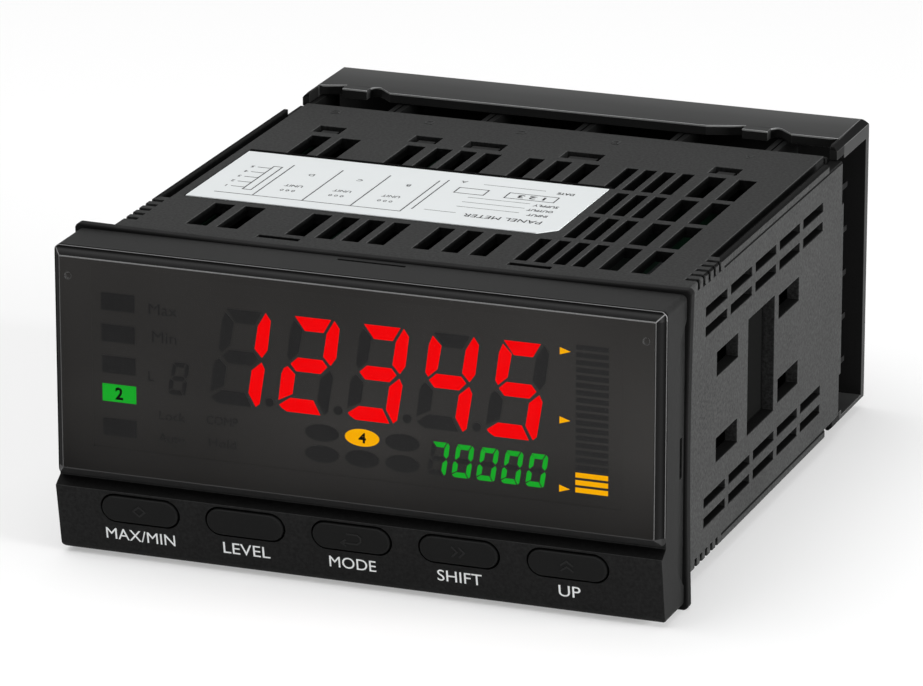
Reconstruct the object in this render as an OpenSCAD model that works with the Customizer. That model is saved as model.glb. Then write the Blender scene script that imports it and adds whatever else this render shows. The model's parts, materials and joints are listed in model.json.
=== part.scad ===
// Digital panel meter for a 92 x 45 mm cut-out, with five keys, a segment display and screw terminals.
// X runs to the right, Y to the rear and Z up. The origin is the middle of the face that meets the panel.

/* [Front] */
// Width of the front bezel
bezel_w = 96; // [94:0.5:104]
// Height of the front bezel
bezel_h = 48; // [47:0.5:56]
// How far the front stands before the panel
front_depth = 12; // [11.5:0.1:15]
// Corner radius of the bezel outline
bezel_r = 0.9; // [0.6:0.1:1.5]
// Height of the key strip below the groove
strip_h = 11.8; // [11.4:0.1:13]
// Height of the bevel along the top of the key strip
strip_edge = 1.2; // [0.8:0.1:1.4]
// Angle by which the key strip leans back
strip_lean = 10; // [4:0.5:12]
// Rounding under the key strip
strip_foot_r = 1.5; // [0.8:0.1:2]
// Thickness of the bezel's front wall at the keys
strip_wall = 2.6; // [2.2:0.1:2.8]
// Depth of the rebate along the bezel's sides
side_rebate = 0.25; // [0.1:0.05:0.4]

/* [Window] */
// Thickness of the smoked window
window_t = 1.8; // [1.4:0.1:2]
// Bevel round the window
window_edge = 1.3; // [0.8:0.1:1.3]
// Gap between the window's lower edge and the bottom of the groove
window_gap = 0.4; // [0.2:0.1:0.8]
// Diameter of the two moulding marks in the window
mark_d = 1; // [0.6:0.1:1.4]

/* [Display] */
// Margin between the bezel's edge and the display glass, at each side
glass_in_x = 5.8; // [5.5:0.1:6.5]
// Margin between the bezel's edge and the display glass, at the top
glass_in_z = 2.8; // [2.4:0.1:3.4]
// Thickness of the display glass
glass_t = 1.8; // [1.4:0.1:2]
// Thickness of the light guide
guide_t = 1.8; // [1.2:0.1:2]
// Thickness of the printed segments
print_t = 0.12; // [0.08:0.01:0.15]
// Figures of the upper row
main_value = [1, 2, 3, 4, 5];
// Figures of the lower row
small_value = [7, 0, 0, 0, 0];
// Height of the upper figures
main_h = 14.9; // [12:0.1:15]
// Height of the lower figures
small_h = 5.1; // [4:0.1:5.2]
// Lean of the figures
figure_lean = 7; // [0:0.5:8]
// Bars in the bar graph
bar_count = 20; // [10:1:20]
// Bars that are lit
bar_lit = 3; // [1:1:10]

/* [Keys] */
// Width of a key
key_w = 12.2; // [10:0.1:12.6]
// Height of a key
key_h = 4.2; // [3.4:0.1:4.4]
// Width of the bezel in key pitches
key_spread = 5.664; // [5.6:0.002:5.9]
// How far a key stands out of the strip
key_proud = 0.35; // [0.2:0.05:0.6]
// Gap round a key
key_gap = 0.3; // [0.25:0.05:0.4]
// How far a key goes in
key_travel = 0.4; // [0.2:0.05:0.5]
// Width of a push switch
switch_w = 6; // [5:0.1:6.4]
// Length of a key's stem
stem_l = 0.6; // [0.4:0.1:0.8]
// Diameter of a push switch's plunger
plunger_d = 3.2; // [2.6:0.1:3.6]

/* [Case] */
// How far the case stands in from the bezel's edge, at each side
case_in_x = 2.2; // [2:0.05:2.5]
// How far the case stands in from the bezel's edge, above and below
case_in_z = 1.6; // [1.5:0.05:1.9]
// Depth of the case's sides behind the panel
case_len = 82.2; // [78:0.2:90]
// How much shorter the case's top and bottom are
lid_short = 3.4; // [2.8:0.1:4]
// Thickness of the side walls
side_wall = 2; // [1.8:0.1:2.2]
// Thickness of the top and bottom walls
lid_wall = 1.8; // [1.5:0.1:2]
// How far the case reaches into the bezel
case_grip = 2.8; // [2.4:0.1:3]
// Thickness of the rubber gasket
gasket_t = 1.8; // [1.2:0.1:2.2]
// How far the gasket's corners stand out past the bezel
gasket_lip = 0.65; // [0.3:0.05:1]
// How far the gasket's edges bow in between the corners
gasket_bow = 0.4; // [0.1:0.05:0.6]

/* [Vents and rails] */
// Bar between the rows of top vent slots
vent_bar = 1.55; // [1.2:0.05:3]
// Where the first row of top vent slots starts
vent_y = 10.6; // [10.4:0.1:11.5]
// Bar between the side vent slots
slot_bar = 1.65; // [1.2:0.05:3]
// Height of a side vent slot
slot_h = 1.4; // [0.8:0.1:1.8]
// Ratchet notches on each rail
tooth_count = 5; // [3:1:5]
// Distance from notch to notch
tooth_pitch = 2.45; // [2:0.05:2.5]
// Width of a notch
tooth_w = 1.2; // [0.5:0.05:1.3]
// Width of the bracket slot beside each rail
rail_slot = 1.5; // [1.2:0.1:1.7]
// Depth of the bracket slot beside each rail
rail_depth = 1.3; // [0.8:0.1:1.4]

/* [Terminals] */
// Room across the case in terminal columns
columns_across = 5.5; // [5.45:0.01:5.6]
// Distance between the rows of terminals
row_pitch = 7.25; // [6.9:0.05:7.3]
// Thickness of the barriers between terminals
barrier_t = 0.9; // [0.6:0.05:1.1]
// How far the barriers reach past the case's sides
barrier_out = 9; // [6:0.1:9.4]
// Diameter of a terminal screw's head
head_d = 5.4; // [4.6:0.1:5.6]
// Diameter of a terminal screw's thread
thread_d = 3; // [2.5:0.1:3.2]
// How far the terminal cover stands in from the case's sides
cover_in = 0.8; // [0.3:0.1:1.2]
// How far the terminal cover stands over the case's top and bottom
cover_over = 1.35; // [1.2:0.05:2]
// Gap between the case's sides and the terminal cover
cover_gap = 2.3; // [1.8:0.1:2.8]
// Depth of the terminal cover
cover_l = 13.3; // [11:0.1:20]
// Thickness of the terminal cover
cover_t = 1.6; // [1.4:0.1:2]
// Bevel along the cover's ends
cover_edge = 1; // [0.4:0.1:1.2]

/* [Hidden] */
$fn = 48;
eps = 0.01;
// Play between pieces that slide into each other
fit = 0.2;
front_y = -front_depth;
window_back = front_y + window_t;
wall_in = front_y + strip_wall;
shoulder_y = -gasket_t - case_grip;
bezel_back = -gasket_t;
case_w = bezel_w - 2 * case_in_x;
case_h = bezel_h - 2 * case_in_z;
lid_len = case_len - lid_short;
groove_z = -bezel_h / 2 + strip_h;
half_case_w = case_w / 2;
half_case_h = case_h / 2;
inner_w = case_w - 2 * side_wall;
inner_h = case_h - 2 * lid_wall;

// The panel seat leaves this much air round the case
seat_gap = 0.3;
seat_w = case_w + 2 * seat_gap;
seat_h = case_h + 2 * seat_gap;

// Display stack, from the window to the board
glass_air = 0.2;
glass_x = -0.6;
glass_rise = 3;
glass_w = bezel_w - 2 * glass_in_x;
glass_h = bezel_h - strip_h - glass_rise - glass_in_z;
glass_y = window_back + glass_air;
glass_z0 = groove_z + glass_rise;
glass_z1 = glass_z0 + glass_h;
// Height of the ledge with the glass's contacts
ledge_h = 2.2;
guide_y = glass_y + glass_t;
tray_y = guide_y + guide_t;
board_w = inner_w - 4 * fit;
board_h = inner_h - 4 * fit;
board_t = 1.2;
board_y = shoulder_y + board_t;

// Layout of the segments, drawn on a plan of the glass and stretched to fit it
plan_w = 84.4;
plan_h = 30.4;
plan_x = -0.6;
plan_z = 6;
main_x = -23.63;
main_z = 1.89;
main_w = 8.25;
main_pitch = 10.88;
main_bar = 2.05;
point_d = 1.4;
point_at = [-1.25, 1.1];
small_x = 10.85;
small_z = -5.15;
small_w = 2.95;
small_pitch = 3.83;
small_bar = 0.72;
spare_x = -30.3;
spare_z = 2.4;
tag_x = -40.85;
tag_z = 14.4;
tag_w = 5.4;
tag_h = 2.7;
tag_pitch = 4.9;
tag_count = 5;
tag_lit = 3;
tag_rise = 0.45;
oval_x = -8.4;
oval_z = -2.15;
oval_w = 5.4;
oval_h = 2.65;
oval_step = [6.35, -3.3];
bar_x = 33.95;
bar_z = -5.2;
bar_w = 5;
bar_h = 0.72;
bar_pitch = 1.15;
arrow_x = 31.45;
arrow_w = 1.6;
arrow_h = 1.05;
arrow_at = [-4.9, 5.6, 16.15];

// Keys and their switches
key_count = 5;
key_pitch = bezel_w / key_spread;
key_shift = -0.57;
key_x0 = key_shift - (key_count - 1) / 2 * key_pitch;
key_drop = 0.35;
key_z = groove_z - strip_edge - key_gap - key_h / 2 - key_drop;
key_rim = 0.8;
key_rim_t = 0.8;
stem_d = 2.8;
plunger_stand = 0.6;
plunger_in = 0.7;
key_rim_back = wall_in + key_rim_t;
switch_front = key_rim_back + stem_l + plunger_stand;
key_room_wall = 2.2;
key_room_over = 0.8;
key_room_z0 = -seat_h / 2 + key_room_wall;
key_room_z1 = groove_z + key_room_over;

// Slits and rebates of the bezel
rebate_w = 2.8;
rebate_top = 3.8;
rebate_foot = 3.2;
slit_w = 1.1;
slit_deep = 0.9;
slit_y = bezel_back - 1.8;
side_slit = [-3.8, 2.5];
top_slit = [-5.9, 4.9];
top_slit_w = 0.8;
top_slit_deep = 0.5;

// Cut-outs of the case, for which the width of the plan is stretched to the case
plan_case_w = 91.6;
across = case_w / plan_case_w;
latch_back = 15;
latch_y = lid_len - latch_back;
// Each group of top vents is [first middle, count, pitch, width]
vent_rows = 4;
vent_pitch = (latch_y - vent_y - fit) / vent_rows;
vent_l = vent_pitch - vent_bar;
vent_groups = [
    [-34.2, 2, 5, 3.4],
    [-18.2, 1, 0, 3.2],
    [-13.5, 3, 4.1, 2.8],
    [1.9, 3, 4.55, 2.7],
    [17.7, 4, 3.05, 2],
    [31.5, 2, 5, 3]];
slot_count = 5;
slot_y = 13.7;
slot_end = 5.85;
slot_pitch = (lid_len - slot_end - slot_y) / slot_count;
slot_l = slot_pitch - slot_bar;
slot_z = [13.4, 16.5];
square_y = [slot_y + 0.464 * slot_pitch, slot_y + 2.996 * slot_pitch];
square_l = slot_l;
square_h = 3.7;
square_z = 6.75;
side_window_y = slot_y + 1.73 * slot_pitch;
side_window_l = 1.097 * slot_pitch;
side_window_h = 18.4;
// Latch windows are [middle, width]
latch_windows = [[-34.4, 4.6], [-18.1, 4.6], [-8.1, 6.4], [8.1, 6.4], [31.6, 4.6]];
latch_l = 3.8;
latch_depth = 1.3;
// Tongue on the floor of each latch window
tongue_l = 2.7;
tongue_in = 0.9;
tongue_deep = 0.45;
hook_window_x = 20;
hook_window_l = 6.8;
hook_window_y = 7.9;
hook_window_w = 1.4;

// Rails along the case's four corners
rail_t = 0.9;
rail_y = 22.3;
rail_back = 4.5;
rail_end = lid_len - rail_back;
tooth_y = 10.4;
case_r = 0.35;
tooth_in = 2.2;
tooth_down = 1.5;
rail_line_z = half_case_h - 1.4;
// The sides' rear edges step in above and below this height
step_z = 0.63 * half_case_h;
step_l = 0.9;

// Label on the case
label_in = 4.3;
label_x0 = -half_case_w + label_in;
label_x1 = label_x0 + 0.6507 * case_w;
label_y0 = vent_y + vent_pitch + 0.15;
label_y1 = vent_y + 3 * vent_pitch - 0.75;
label_cut = 2.6;
label_t = 0.12;

// Boards inside the case
card_t = 1.6;
card_x = [-0.4167, -0.16, 0.0913, 0.2968] * inner_w;
card_y = -0.8;
card_h = inner_h - 2 * fit;
socket_w = 5;
socket_h = 30;
socket_end = 2.2;
liner_t = 0.5;
liner_margin = 1.8;

// Terminal blocks close the case's rear
stop_back = 2.3;
stop_y = lid_len - stop_back;
stop_t = 2;
stop_rim = 1.2;
block_out = 1.2;
block_floor = lid_len + block_out;
barrier_y = case_len + barrier_out;
barrier_top = half_case_h + cover_over - cover_t - fit;
block_count = 6;
block_gap = 0.25;
row_count = 6;
clamp_t = 0.8;
clamp_h = row_pitch - barrier_t - 2 * fit;
head_t = 2;
thread_l = 2.6;
block_left = -half_case_w + side_wall + fit;
block_right = half_case_w - side_wall - fit;
column_w = (block_right - block_left) / columns_across;
block_first = block_left + 0.9146 * column_w;

// Cover: arms that lie in the notches behind the rails
cover_w = case_w - 2 * cover_in;
cover_h = case_h + 2 * cover_over;
cover_y = case_len + cover_gap;
cover_end = cover_y + cover_l;
arm_l = 3.8;
arm_y = cover_y - arm_l;
arm_step = 0.15;
arm_top = half_case_h + cover_over - arm_step;
arm_r = 0.9;
cover_r = 1.6;
// Lip under each end of the hood
lip_t = cover_w / 2 - (half_case_w - rail_t - rail_slot + 2 * fit);
lip_h = 3.1;
// Each scallop is a ramp, a tab and a rounded dip in the hood's front edge
scallop_at = [-cover_w / 2 + 5.4, cover_w / 2 - 16.9];
scallop_ramp = 6;
scallop_deep = 2;
scallop_tab = 4.2;
dip_w = 4;
dip_r = 1.1;
dip_deep = 2.4;

// Extrudes an outline drawn in X and Z between two values of Y
module along_y(y0, y1) {
    translate([0, y1, 0]) rotate([90, 0, 0]) linear_extrude(y1 - y0) children();
}

// Extrudes an outline drawn in Y and Z between two values of X
module along_x(x0, x1) {
    translate([x0, 0, 0]) rotate([90, 0, 90]) linear_extrude(x1 - x0) children();
}

// Extrudes an outline drawn in X and Y between two values of Z
module along_z(z0, z1) {
    translate([0, 0, z0]) linear_extrude(z1 - z0) children();
}

module rect(x0, x1, y0, y1) {
    translate([x0, y0]) square([x1 - x0, y1 - y0]);
}

module round_rect(w, h, r) {
    square([w - 2 * r, h], center = true);
    square([w, h - 2 * r], center = true);
    for (sx = [-1, 1], sy = [-1, 1])
        translate([sx * (w / 2 - r), sy * (h / 2 - r)]) circle(r);
}

module cut_rect(w, h, cut) {
    polygon([[-w / 2 + cut, -h / 2], [w / 2 - cut, -h / 2], [w / 2, -h / 2 + cut], [w / 2, h / 2 - cut],
             [w / 2 - cut, h / 2], [-w / 2 + cut, h / 2], [-w / 2, h / 2 - cut], [-w / 2, -h / 2 + cut]]);
}

module stadium(w, h) {
    square([w - h, h], center = true);
    for (s = [-1, 1])
        translate([s * (w - h) / 2, 0]) circle(d = h);
}

function arc(middle, r, from, to, n = 8) =
    [for (i = [0:n]) middle + r * [cos(from + (to - from) * i / n), sin(from + (to - from) * i / n)]];

// Y of the key strip's face at a height
function strip_y(z) = front_y + (groove_z - strip_edge - z) * tan(strip_lean);
function key_x(i) = key_x0 + i * key_pitch;

// The strip's face and its underside meet in an arc that touches both
foot_turn = 90 - strip_lean;
foot_middle = [
    strip_y(-bezel_h / 2 + strip_foot_r) + strip_foot_r / cos(strip_lean),
    -bezel_h / 2 + strip_foot_r];

module bezel_profile() {
    polygon(concat(
        [[bezel_back, -bezel_h / 2], [bezel_back, bezel_h / 2], [window_back, bezel_h / 2],
         [window_back, groove_z], [front_y, groove_z - strip_edge]],
        arc(foot_middle, strip_foot_r, 180 + strip_lean, 270)));
}

module front_bezel() {
    color([0.13, 0.135, 0.135])
    difference() {
        intersection() {
            along_x(-bezel_w / 2, bezel_w / 2) bezel_profile();
            along_y(front_y - 1, 0) round_rect(bezel_w, bezel_h, bezel_r);
        }
        // Room for the glass, the keys and the case
        along_y(window_back - 1, shoulder_y + eps)
            rect(glass_x - glass_w / 2 - fit, glass_x + glass_w / 2 + fit, glass_z0 - fit, glass_z1 + fit);
        along_y(wall_in, shoulder_y + eps)
            rect(-board_w / 2 + 1, board_w / 2 - 1, key_room_z0, key_room_z1);
        along_y(shoulder_y, bezel_back + 1)
            square([seat_w, seat_h], center = true);
        for (i = [0:key_count - 1])
            translate([key_x(i), 0, key_z])
                along_y(front_y - 1, wall_in + eps) stadium(key_w + 2 * key_gap, key_h + 2 * key_gap);
        // Rebate and release slit on each side, and a slit on top
        for (x = [-bezel_w / 2, bezel_w / 2]) {
            along_x(x - side_rebate, x + side_rebate)
                polygon([[bezel_back - rebate_w, bezel_h / 2 - rebate_top - rebate_w],
                         [bezel_back - rebate_w, -bezel_h / 2 + rebate_foot + rebate_w],
                         [bezel_back + 1, -bezel_h / 2 + rebate_foot - 1],
                         [bezel_back + 1, bezel_h / 2 - rebate_top + 1]]);
            along_x(x - slit_deep, x + slit_deep)
                rect(slit_y, slit_y + slit_w, side_slit[0], side_slit[1]);
        }
        along_z(bezel_h / 2 - top_slit_deep, bezel_h / 2 + 1)
            rect(top_slit[0], top_slit[1], slit_y, slit_y + top_slit_w);
    }
}

// The window is a plate bevelled on all four sides, from two crossed profiles
module display_window() {
    z0 = groove_z + window_gap;
    z1 = bezel_h / 2;
    rim_y = front_y + window_edge;
    color([0.1, 0.1, 0.1, 0.6])
    difference() {
        intersection() {
            along_x(-bezel_w / 2, bezel_w / 2)
                polygon([[window_back, z0], [rim_y, z0], [front_y, z0 + window_edge],
                         [front_y, z1 - window_edge], [rim_y, z1], [window_back, z1]]);
            along_z(z0, z1)
                polygon([[-bezel_w / 2, window_back], [-bezel_w / 2, rim_y], [-bezel_w / 2 + window_edge, front_y],
                         [bezel_w / 2 - window_edge, front_y], [bezel_w / 2, rim_y], [bezel_w / 2, window_back]]);
            translate([0, 0, (z0 + z1) / 2]) along_y(front_y - 1, window_back + 1) round_rect(bezel_w, z1 - z0, bezel_r);
        }
        for (s = [-1, 1])
            translate([s * (bezel_w / 2 - window_edge - 1.4), 0, z1 - window_edge - 3])
                along_y(front_y - 1, front_y + 0.25) circle(d = mark_d);
    }
}

// Two sheets of glass: the rear one carries the contacts on its lower ledge
module display_glass() {
    color([0.16, 0.16, 0.17])
    along_x(glass_x - glass_w / 2, glass_x + glass_w / 2)
        polygon([[glass_y, glass_z1], [guide_y, glass_z1], [guide_y, glass_z0],
                 [glass_y + glass_t / 2, glass_z0], [glass_y + glass_t / 2, glass_z0 + ledge_h],
                 [glass_y, glass_z0 + ledge_h]]);
}

// Segments a to g of one figure before its lean, measured in bar widths from the edges and the middle
function segment(s, w, h, t) =
    let (m = h / 2)
    s == 0 ? [[0.55 * t, h], [w - 0.72 * t, h], [w - 1.18 * t, h - 1.02 * t], [1.42 * t, h - 1.02 * t]] :
    s == 1 ? [[w - 0.45 * t, h - 0.05 * t], [w, h - 0.6 * t], [w, m + 0.8 * t], [w - 0.35 * t, m + 0.2 * t],
              [w - 0.98 * t, m + 0.82 * t], [w - 0.92 * t, h - 1.07 * t]] :
    s == 2 ? [[w - 0.35 * t, m - 0.18 * t], [w - 0.05 * t, m - 0.68 * t], [w - 0.15 * t, 0.3 * t],
              [w - 0.4 * t, 0.06 * t], [w - 1.07 * t, 1.05 * t], [w - 1.02 * t, m - 0.84 * t]] :
    s == 3 ? [[0.1 * t, 0.46 * t], [0.85 * t, 1.05 * t], [w - 1.38 * t, 1.05 * t], [w - 0.72 * t, 0],
              [0.75 * t, 0], [0.33 * t, 0.22 * t]] :
    s == 4 ? [[0.4 * t, m - 0.22 * t], [1.04 * t, m - 0.78 * t], [t, 1.36 * t], [0, 0.8 * t],
              [0, m - 0.82 * t], [0.14 * t, m - 0.38 * t]] :
    s == 5 ? [[0.5 * t, h - 0.29 * t], [1.24 * t, h - 0.98 * t], [1.15 * t, m + 0.88 * t],
              [0.53 * t, m + 0.25 * t], [0.28 * t, m + 0.57 * t], [0.3 * t, h - 0.95 * t]] :
    [[0.62 * t, m + 0.02 * t], [1.1 * t, m + 0.53 * t], [w - 1.04 * t, m + 0.53 * t],
     [w - 0.6 * t, m + 0.05 * t], [w - 1.04 * t, m - 0.5 * t], [1.1 * t, m - 0.5 * t]];

// Which segments, from a to g, each figure lights
figure_segments = [
    [0, 1, 2, 3, 4, 5], [1, 2], [0, 1, 3, 4, 6], [0, 1, 2, 3, 6], [1, 2, 5, 6],
    [0, 2, 3, 5, 6], [0, 2, 3, 4, 5, 6], [0, 1, 2], [0, 1, 2, 3, 4, 5, 6], [0, 1, 2, 3, 5, 6]];
function lit(s, figure) = len([for (k = figure_segments[figure]) if (k == s) k]) > 0;
function leaned(points) = [for (p = points) [p[0] + p[1] * tan(figure_lean), p[1]]];

// Draws the lit or the dark segments of a figure
module figure(value, w, h, t, want) {
    for (s = [0:6])
        if (lit(s, value) == want)
            polygon(leaned(segment(s, w, h, t)));
}

module figure_row(values, x, z, pitch, w, h, t, want) {
    for (i = [0:len(values) - 1])
        translate([x + i * pitch, z]) figure(values[i], w, h, t, want);
}

module printed() {
    translate([glass_x, 0, (glass_z0 + glass_z1) / 2])
        scale([glass_w / plan_w, 1, glass_h / plan_h])
            translate([-plan_x, 0, -plan_z])
                along_y(glass_y - print_t, glass_y) children();
}

module tag(i) {
    z = tag_z - i * tag_pitch;
    rise = i == tag_lit ? tag_rise : 0;
    rect(tag_x, tag_x + tag_w, z + rise, z + tag_h + rise);
}

function ellipse(w, h, n = 36) = [for (i = [0:n - 1]) [w / 2 * cos(360 * i / n), h / 2 * sin(360 * i / n)]];

module oval(i, j) {
    translate([oval_x + oval_w / 2, oval_z + oval_h / 2] + [i * oval_step[0], j * oval_step[1]])
        polygon(ellipse(oval_w, oval_h));
}

module bars(from, to) {
    for (i = [from:to])
        rect(bar_x, bar_x + bar_w, bar_z + i * bar_pitch, bar_z + i * bar_pitch + bar_h);
}

module unlit_segments() {
    color([0.1, 0.1, 0.09])
    printed() {
        figure_row(main_value, main_x, main_z, main_pitch, main_w, main_h, main_bar, false);
        figure_row(small_value, small_x, small_z, small_pitch, small_w, small_h, small_bar, false);
        translate([spare_x, spare_z]) figure(8, small_w, small_h, small_bar, true);
        for (i = [1:4])
            translate([main_x + i * main_pitch, main_z] + point_at) circle(d = point_d);
        for (i = [0:tag_count - 1])
            if (i != tag_lit) tag(i);
        for (i = [0:2], j = [0:1])
            if (i != 1 || j != 0) oval(i, j);
        bars(bar_lit, bar_count - 1);
    }
}

module main_figures() {
    color([0.9, 0.08, 0.11])
    printed() figure_row(main_value, main_x, main_z, main_pitch, main_w, main_h, main_bar, true);
}

module small_figures() {
    color([0.22, 0.66, 0.18])
    printed() figure_row(small_value, small_x, small_z, small_pitch, small_w, small_h, small_bar, true);
}

module amber_marks() {
    color([0.97, 0.7, 0.08])
    printed() {
        oval(1, 0);
        bars(0, bar_lit - 1);
        for (z = arrow_at)
            polygon([[arrow_x, z - arrow_h / 2], [arrow_x + arrow_w, z], [arrow_x, z + arrow_h / 2]]);
    }
}

module green_mark() {
    color([0.2, 0.7, 0.2])
    printed() tag(tag_lit);
}

module light_guide() {
    color([0.92, 0.94, 0.95])
    along_y(guide_y, tray_y)
        rect(glass_x - glass_w / 2, glass_x + glass_w / 2, glass_z0 + ledge_h + 2 * fit, glass_z1);
}

// White tray behind the light guide, with a well for each light on the board
module reflector_tray() {
    z0 = glass_z0 + ledge_h + 2 * fit;
    color([0.95, 0.95, 0.93])
    along_y(tray_y, shoulder_y)
        difference() {
            rect(glass_x - glass_w / 2, glass_x + glass_w / 2, z0, glass_z1);
            for (i = [-2:2], j = [-1, 1])
                translate([glass_x + i * glass_w / 5, (z0 + glass_z1) / 2 + j * (glass_z1 - z0) / 4]) circle(d = 8);
        }
}

module glass_contact_strip() {
    color([0.55, 0.6, 0.62])
    along_y(guide_y, shoulder_y)
        rect(glass_x - glass_w / 2 + 2, glass_x + glass_w / 2 - 2, glass_z0, glass_z0 + ledge_h);
}

module display_board() {
    color([0.08, 0.33, 0.2])
    along_y(shoulder_y, board_y)
        difference() {
            square([board_w, board_h], center = true);
            for (sx = [-1, 1], sz = [-1, 1])
                translate([sx * (board_w / 2 - 5), sz * (board_h / 2 - 1.5)]) circle(d = 1.6);
        }
}

// A key is a stadium cut by the strip's leaning face, with a rim behind the wall and a stem
module key_cap(i) {
    top = key_z + key_h / 2;
    bottom = key_z - key_h / 2;
    color([0.12, 0.125, 0.125])
    translate([key_x(i), 0, 0]) {
        intersection() {
            translate([0, 0, key_z]) along_y(front_y - 2, wall_in) stadium(key_w, key_h);
            along_x(-key_w, key_w)
                polygon([[wall_in, bottom - 1], [strip_y(bottom - 1) - key_proud, bottom - 1],
                         [strip_y(top + 1) - key_proud, top + 1], [wall_in, top + 1]]);
        }
        translate([0, 0, key_z]) {
            along_y(wall_in, key_rim_back) stadium(key_w + 2 * key_rim, key_h + 2 * key_rim);
            along_y(key_rim_back, switch_front - plunger_stand) circle(d = stem_d);
        }
    }
}

module switch_plunger(i) {
    color([0.75, 0.72, 0.66])
    translate([key_x(i), 0, key_z])
        along_y(switch_front - plunger_stand, switch_front + plunger_in) circle(d = plunger_d);
}

module switch_body(i) {
    well = plunger_in + key_travel + 0.1;
    color([0.2, 0.2, 0.21])
    translate([key_x(i), 0, key_z])
        difference() {
            along_y(switch_front, shoulder_y) round_rect(switch_w, switch_w, 0.5);
            along_y(switch_front - 1, switch_front + well) circle(d = plunger_d + 2 * key_gap);
        }
}

// Four edges that bow in between the corners, each as a shallow parabola
function bowed(w, h, bow, n = 12) =
    let (steps = [for (i = [0:n - 1]) 1 - 2 * i / n])
    concat(
        [for (t = steps) [t * w / 2, h / 2 - bow * (1 - t * t)]],
        [for (t = steps) [-w / 2 + bow * (1 - t * t), t * h / 2]],
        [for (t = steps) [-t * w / 2, -h / 2 + bow * (1 - t * t)]],
        [for (t = steps) [w / 2 - bow * (1 - t * t), -t * h / 2]]);

// The ring's corners stand out past the bezel
module panel_gasket() {
    w = bezel_w + 2 * gasket_lip;
    h = bezel_h + 2 * gasket_lip;
    color([0.07, 0.07, 0.07])
    along_y(-gasket_t, 0)
        difference() {
            intersection() {
                round_rect(w, h, bezel_r);
                polygon(bowed(w, h, gasket_bow));
            }
            square([seat_w, seat_h], center = true);
        }
}

// Top vents go through the top and the bottom wall, and stay clear of the label
module top_vents() {
    along_z(-case_h, case_h)
        for (group = vent_groups, k = [0:group[1] - 1], row = [0:vent_rows - 1]) {
            x = (group[0] + k * group[2]) * across;
            y = vent_y + row * vent_pitch;
            under_label = x - group[3] / 2 < label_x1 + 0.4 && y < label_y1 - 0.4 && y + vent_l > label_y0 + 0.4;
            if (!under_label)
                rect(x - group[3] / 2, x + group[3] / 2, y, y + vent_l);
        }
}

module side_vents() {
    along_x(-case_w, case_w) {
        for (i = [0:slot_count - 1], z = slot_z, s = [-1, 1])
            rect(slot_y + i * slot_pitch, slot_y + i * slot_pitch + slot_l, s * z - slot_h / 2, s * z + slot_h / 2);
        for (y = square_y, s = [-1, 1])
            rect(y, y + square_l, s * square_z - square_h / 2, s * square_z + square_h / 2);
        rect(side_window_y, side_window_y + side_window_l, -side_window_h / 2, side_window_h / 2);
    }
}

// Bracket slot, ratchet notches and rail end of the upper right corner
module rail_cuts() {
    slot_out = half_case_w - rail_t;
    slot_in = slot_out - rail_slot;
    along_z(half_case_h - rail_depth, case_h) {
        rect(slot_in, slot_out, rail_y, case_len + 1);
        rect(slot_in, case_w, rail_end, case_len + 1);
    }
    for (i = [0:tooth_count - 1])
        along_y(tooth_y + i * tooth_pitch - tooth_w / 2, tooth_y + i * tooth_pitch + tooth_w / 2)
            rect(half_case_w - tooth_in, case_w, half_case_h - tooth_down, case_h);
    along_y(rail_y, case_len + 1)
        rect(half_case_w - 0.15, case_w, rail_line_z - 0.15, rail_line_z + 0.15);
}

// Recess over a card's latch in the top wall, with the latch's tongue on its floor
module latch_recess(x, w) {
    tongue_w = w - 2 * tongue_in;
    translate([x, latch_y, 0]) {
        along_z(half_case_h - latch_depth, case_h)
            difference() {
                rect(-w / 2, w / 2, 0, latch_l);
                rect(-tongue_w / 2, tongue_w / 2, -1, tongue_l);
            }
        along_z(half_case_h - tongue_deep, case_h) rect(-w / 2, w / 2, 0, latch_l);
    }
}

module rear_case() {
    color([0.235, 0.243, 0.24])
    difference() {
        union() {
            along_y(shoulder_y, case_len)
                difference() {
                    round_rect(case_w, case_h, case_r);
                    square([inner_w, inner_h], center = true);
                }
            along_y(stop_y - stop_t, stop_y)
                difference() {
                    square([inner_w + 1, inner_h + 1], center = true);
                    square([inner_w - 2 * stop_rim, inner_h - 2 * stop_rim], center = true);
                }
        }
        along_y(lid_len, case_len + 1) square([inner_w, 2 * case_h], center = true);
        top_vents();
        side_vents();
        for (mx = [0, 1], mz = [0, 1])
            mirror([mx, 0, 0]) mirror([0, 0, mz]) rail_cuts();
        for (mz = [0, 1], latch = latch_windows)
            mirror([0, 0, mz]) latch_recess(latch[0] * across, latch[1]);
        // Steps in the sides' rear edges, and windows for the bezel's hooks
        for (mz = [0, 1])
            mirror([0, 0, mz])
                along_y(case_len - step_l, case_len + 1) rect(-case_w, case_w, step_z, case_h);
        along_z(-case_h, case_h)
            for (s = [-1, 1])
                translate([s * hook_window_x, 0])
                    rect(-hook_window_l / 2, hook_window_l / 2, hook_window_y, hook_window_y + hook_window_w);
    }
}

module case_label() {
    color([0.92, 0.93, 0.93])
    along_z(half_case_h, half_case_h + label_t)
        polygon([[label_x0, label_y0], [label_x1 - label_cut, label_y0], [label_x1, label_y0 + label_cut],
                 [label_x1, label_y1], [label_x0, label_y1]]);
}

// Insulating sheet behind the tall window of a side wall
module side_liner(s) {
    x = s * (inner_w / 2 - liner_t / 2);
    color([0.09, 0.09, 0.09])
    along_x(x - liner_t / 2, x + liner_t / 2)
        rect(side_window_y - liner_margin, side_window_y + side_window_l + liner_margin,
             -side_window_h / 2 - liner_margin, side_window_h / 2 + liner_margin);
}

// Edge connector on the display board for one card
module card_socket(i) {
    color([0.85, 0.83, 0.76])
    translate([card_x[i], 0, 0])
        difference() {
            along_y(board_y, socket_end) square([socket_w, socket_h], center = true);
            along_y(card_y, socket_end + 1) square([card_t + 2 * fit, socket_h - 4], center = true);
        }
}

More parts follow.
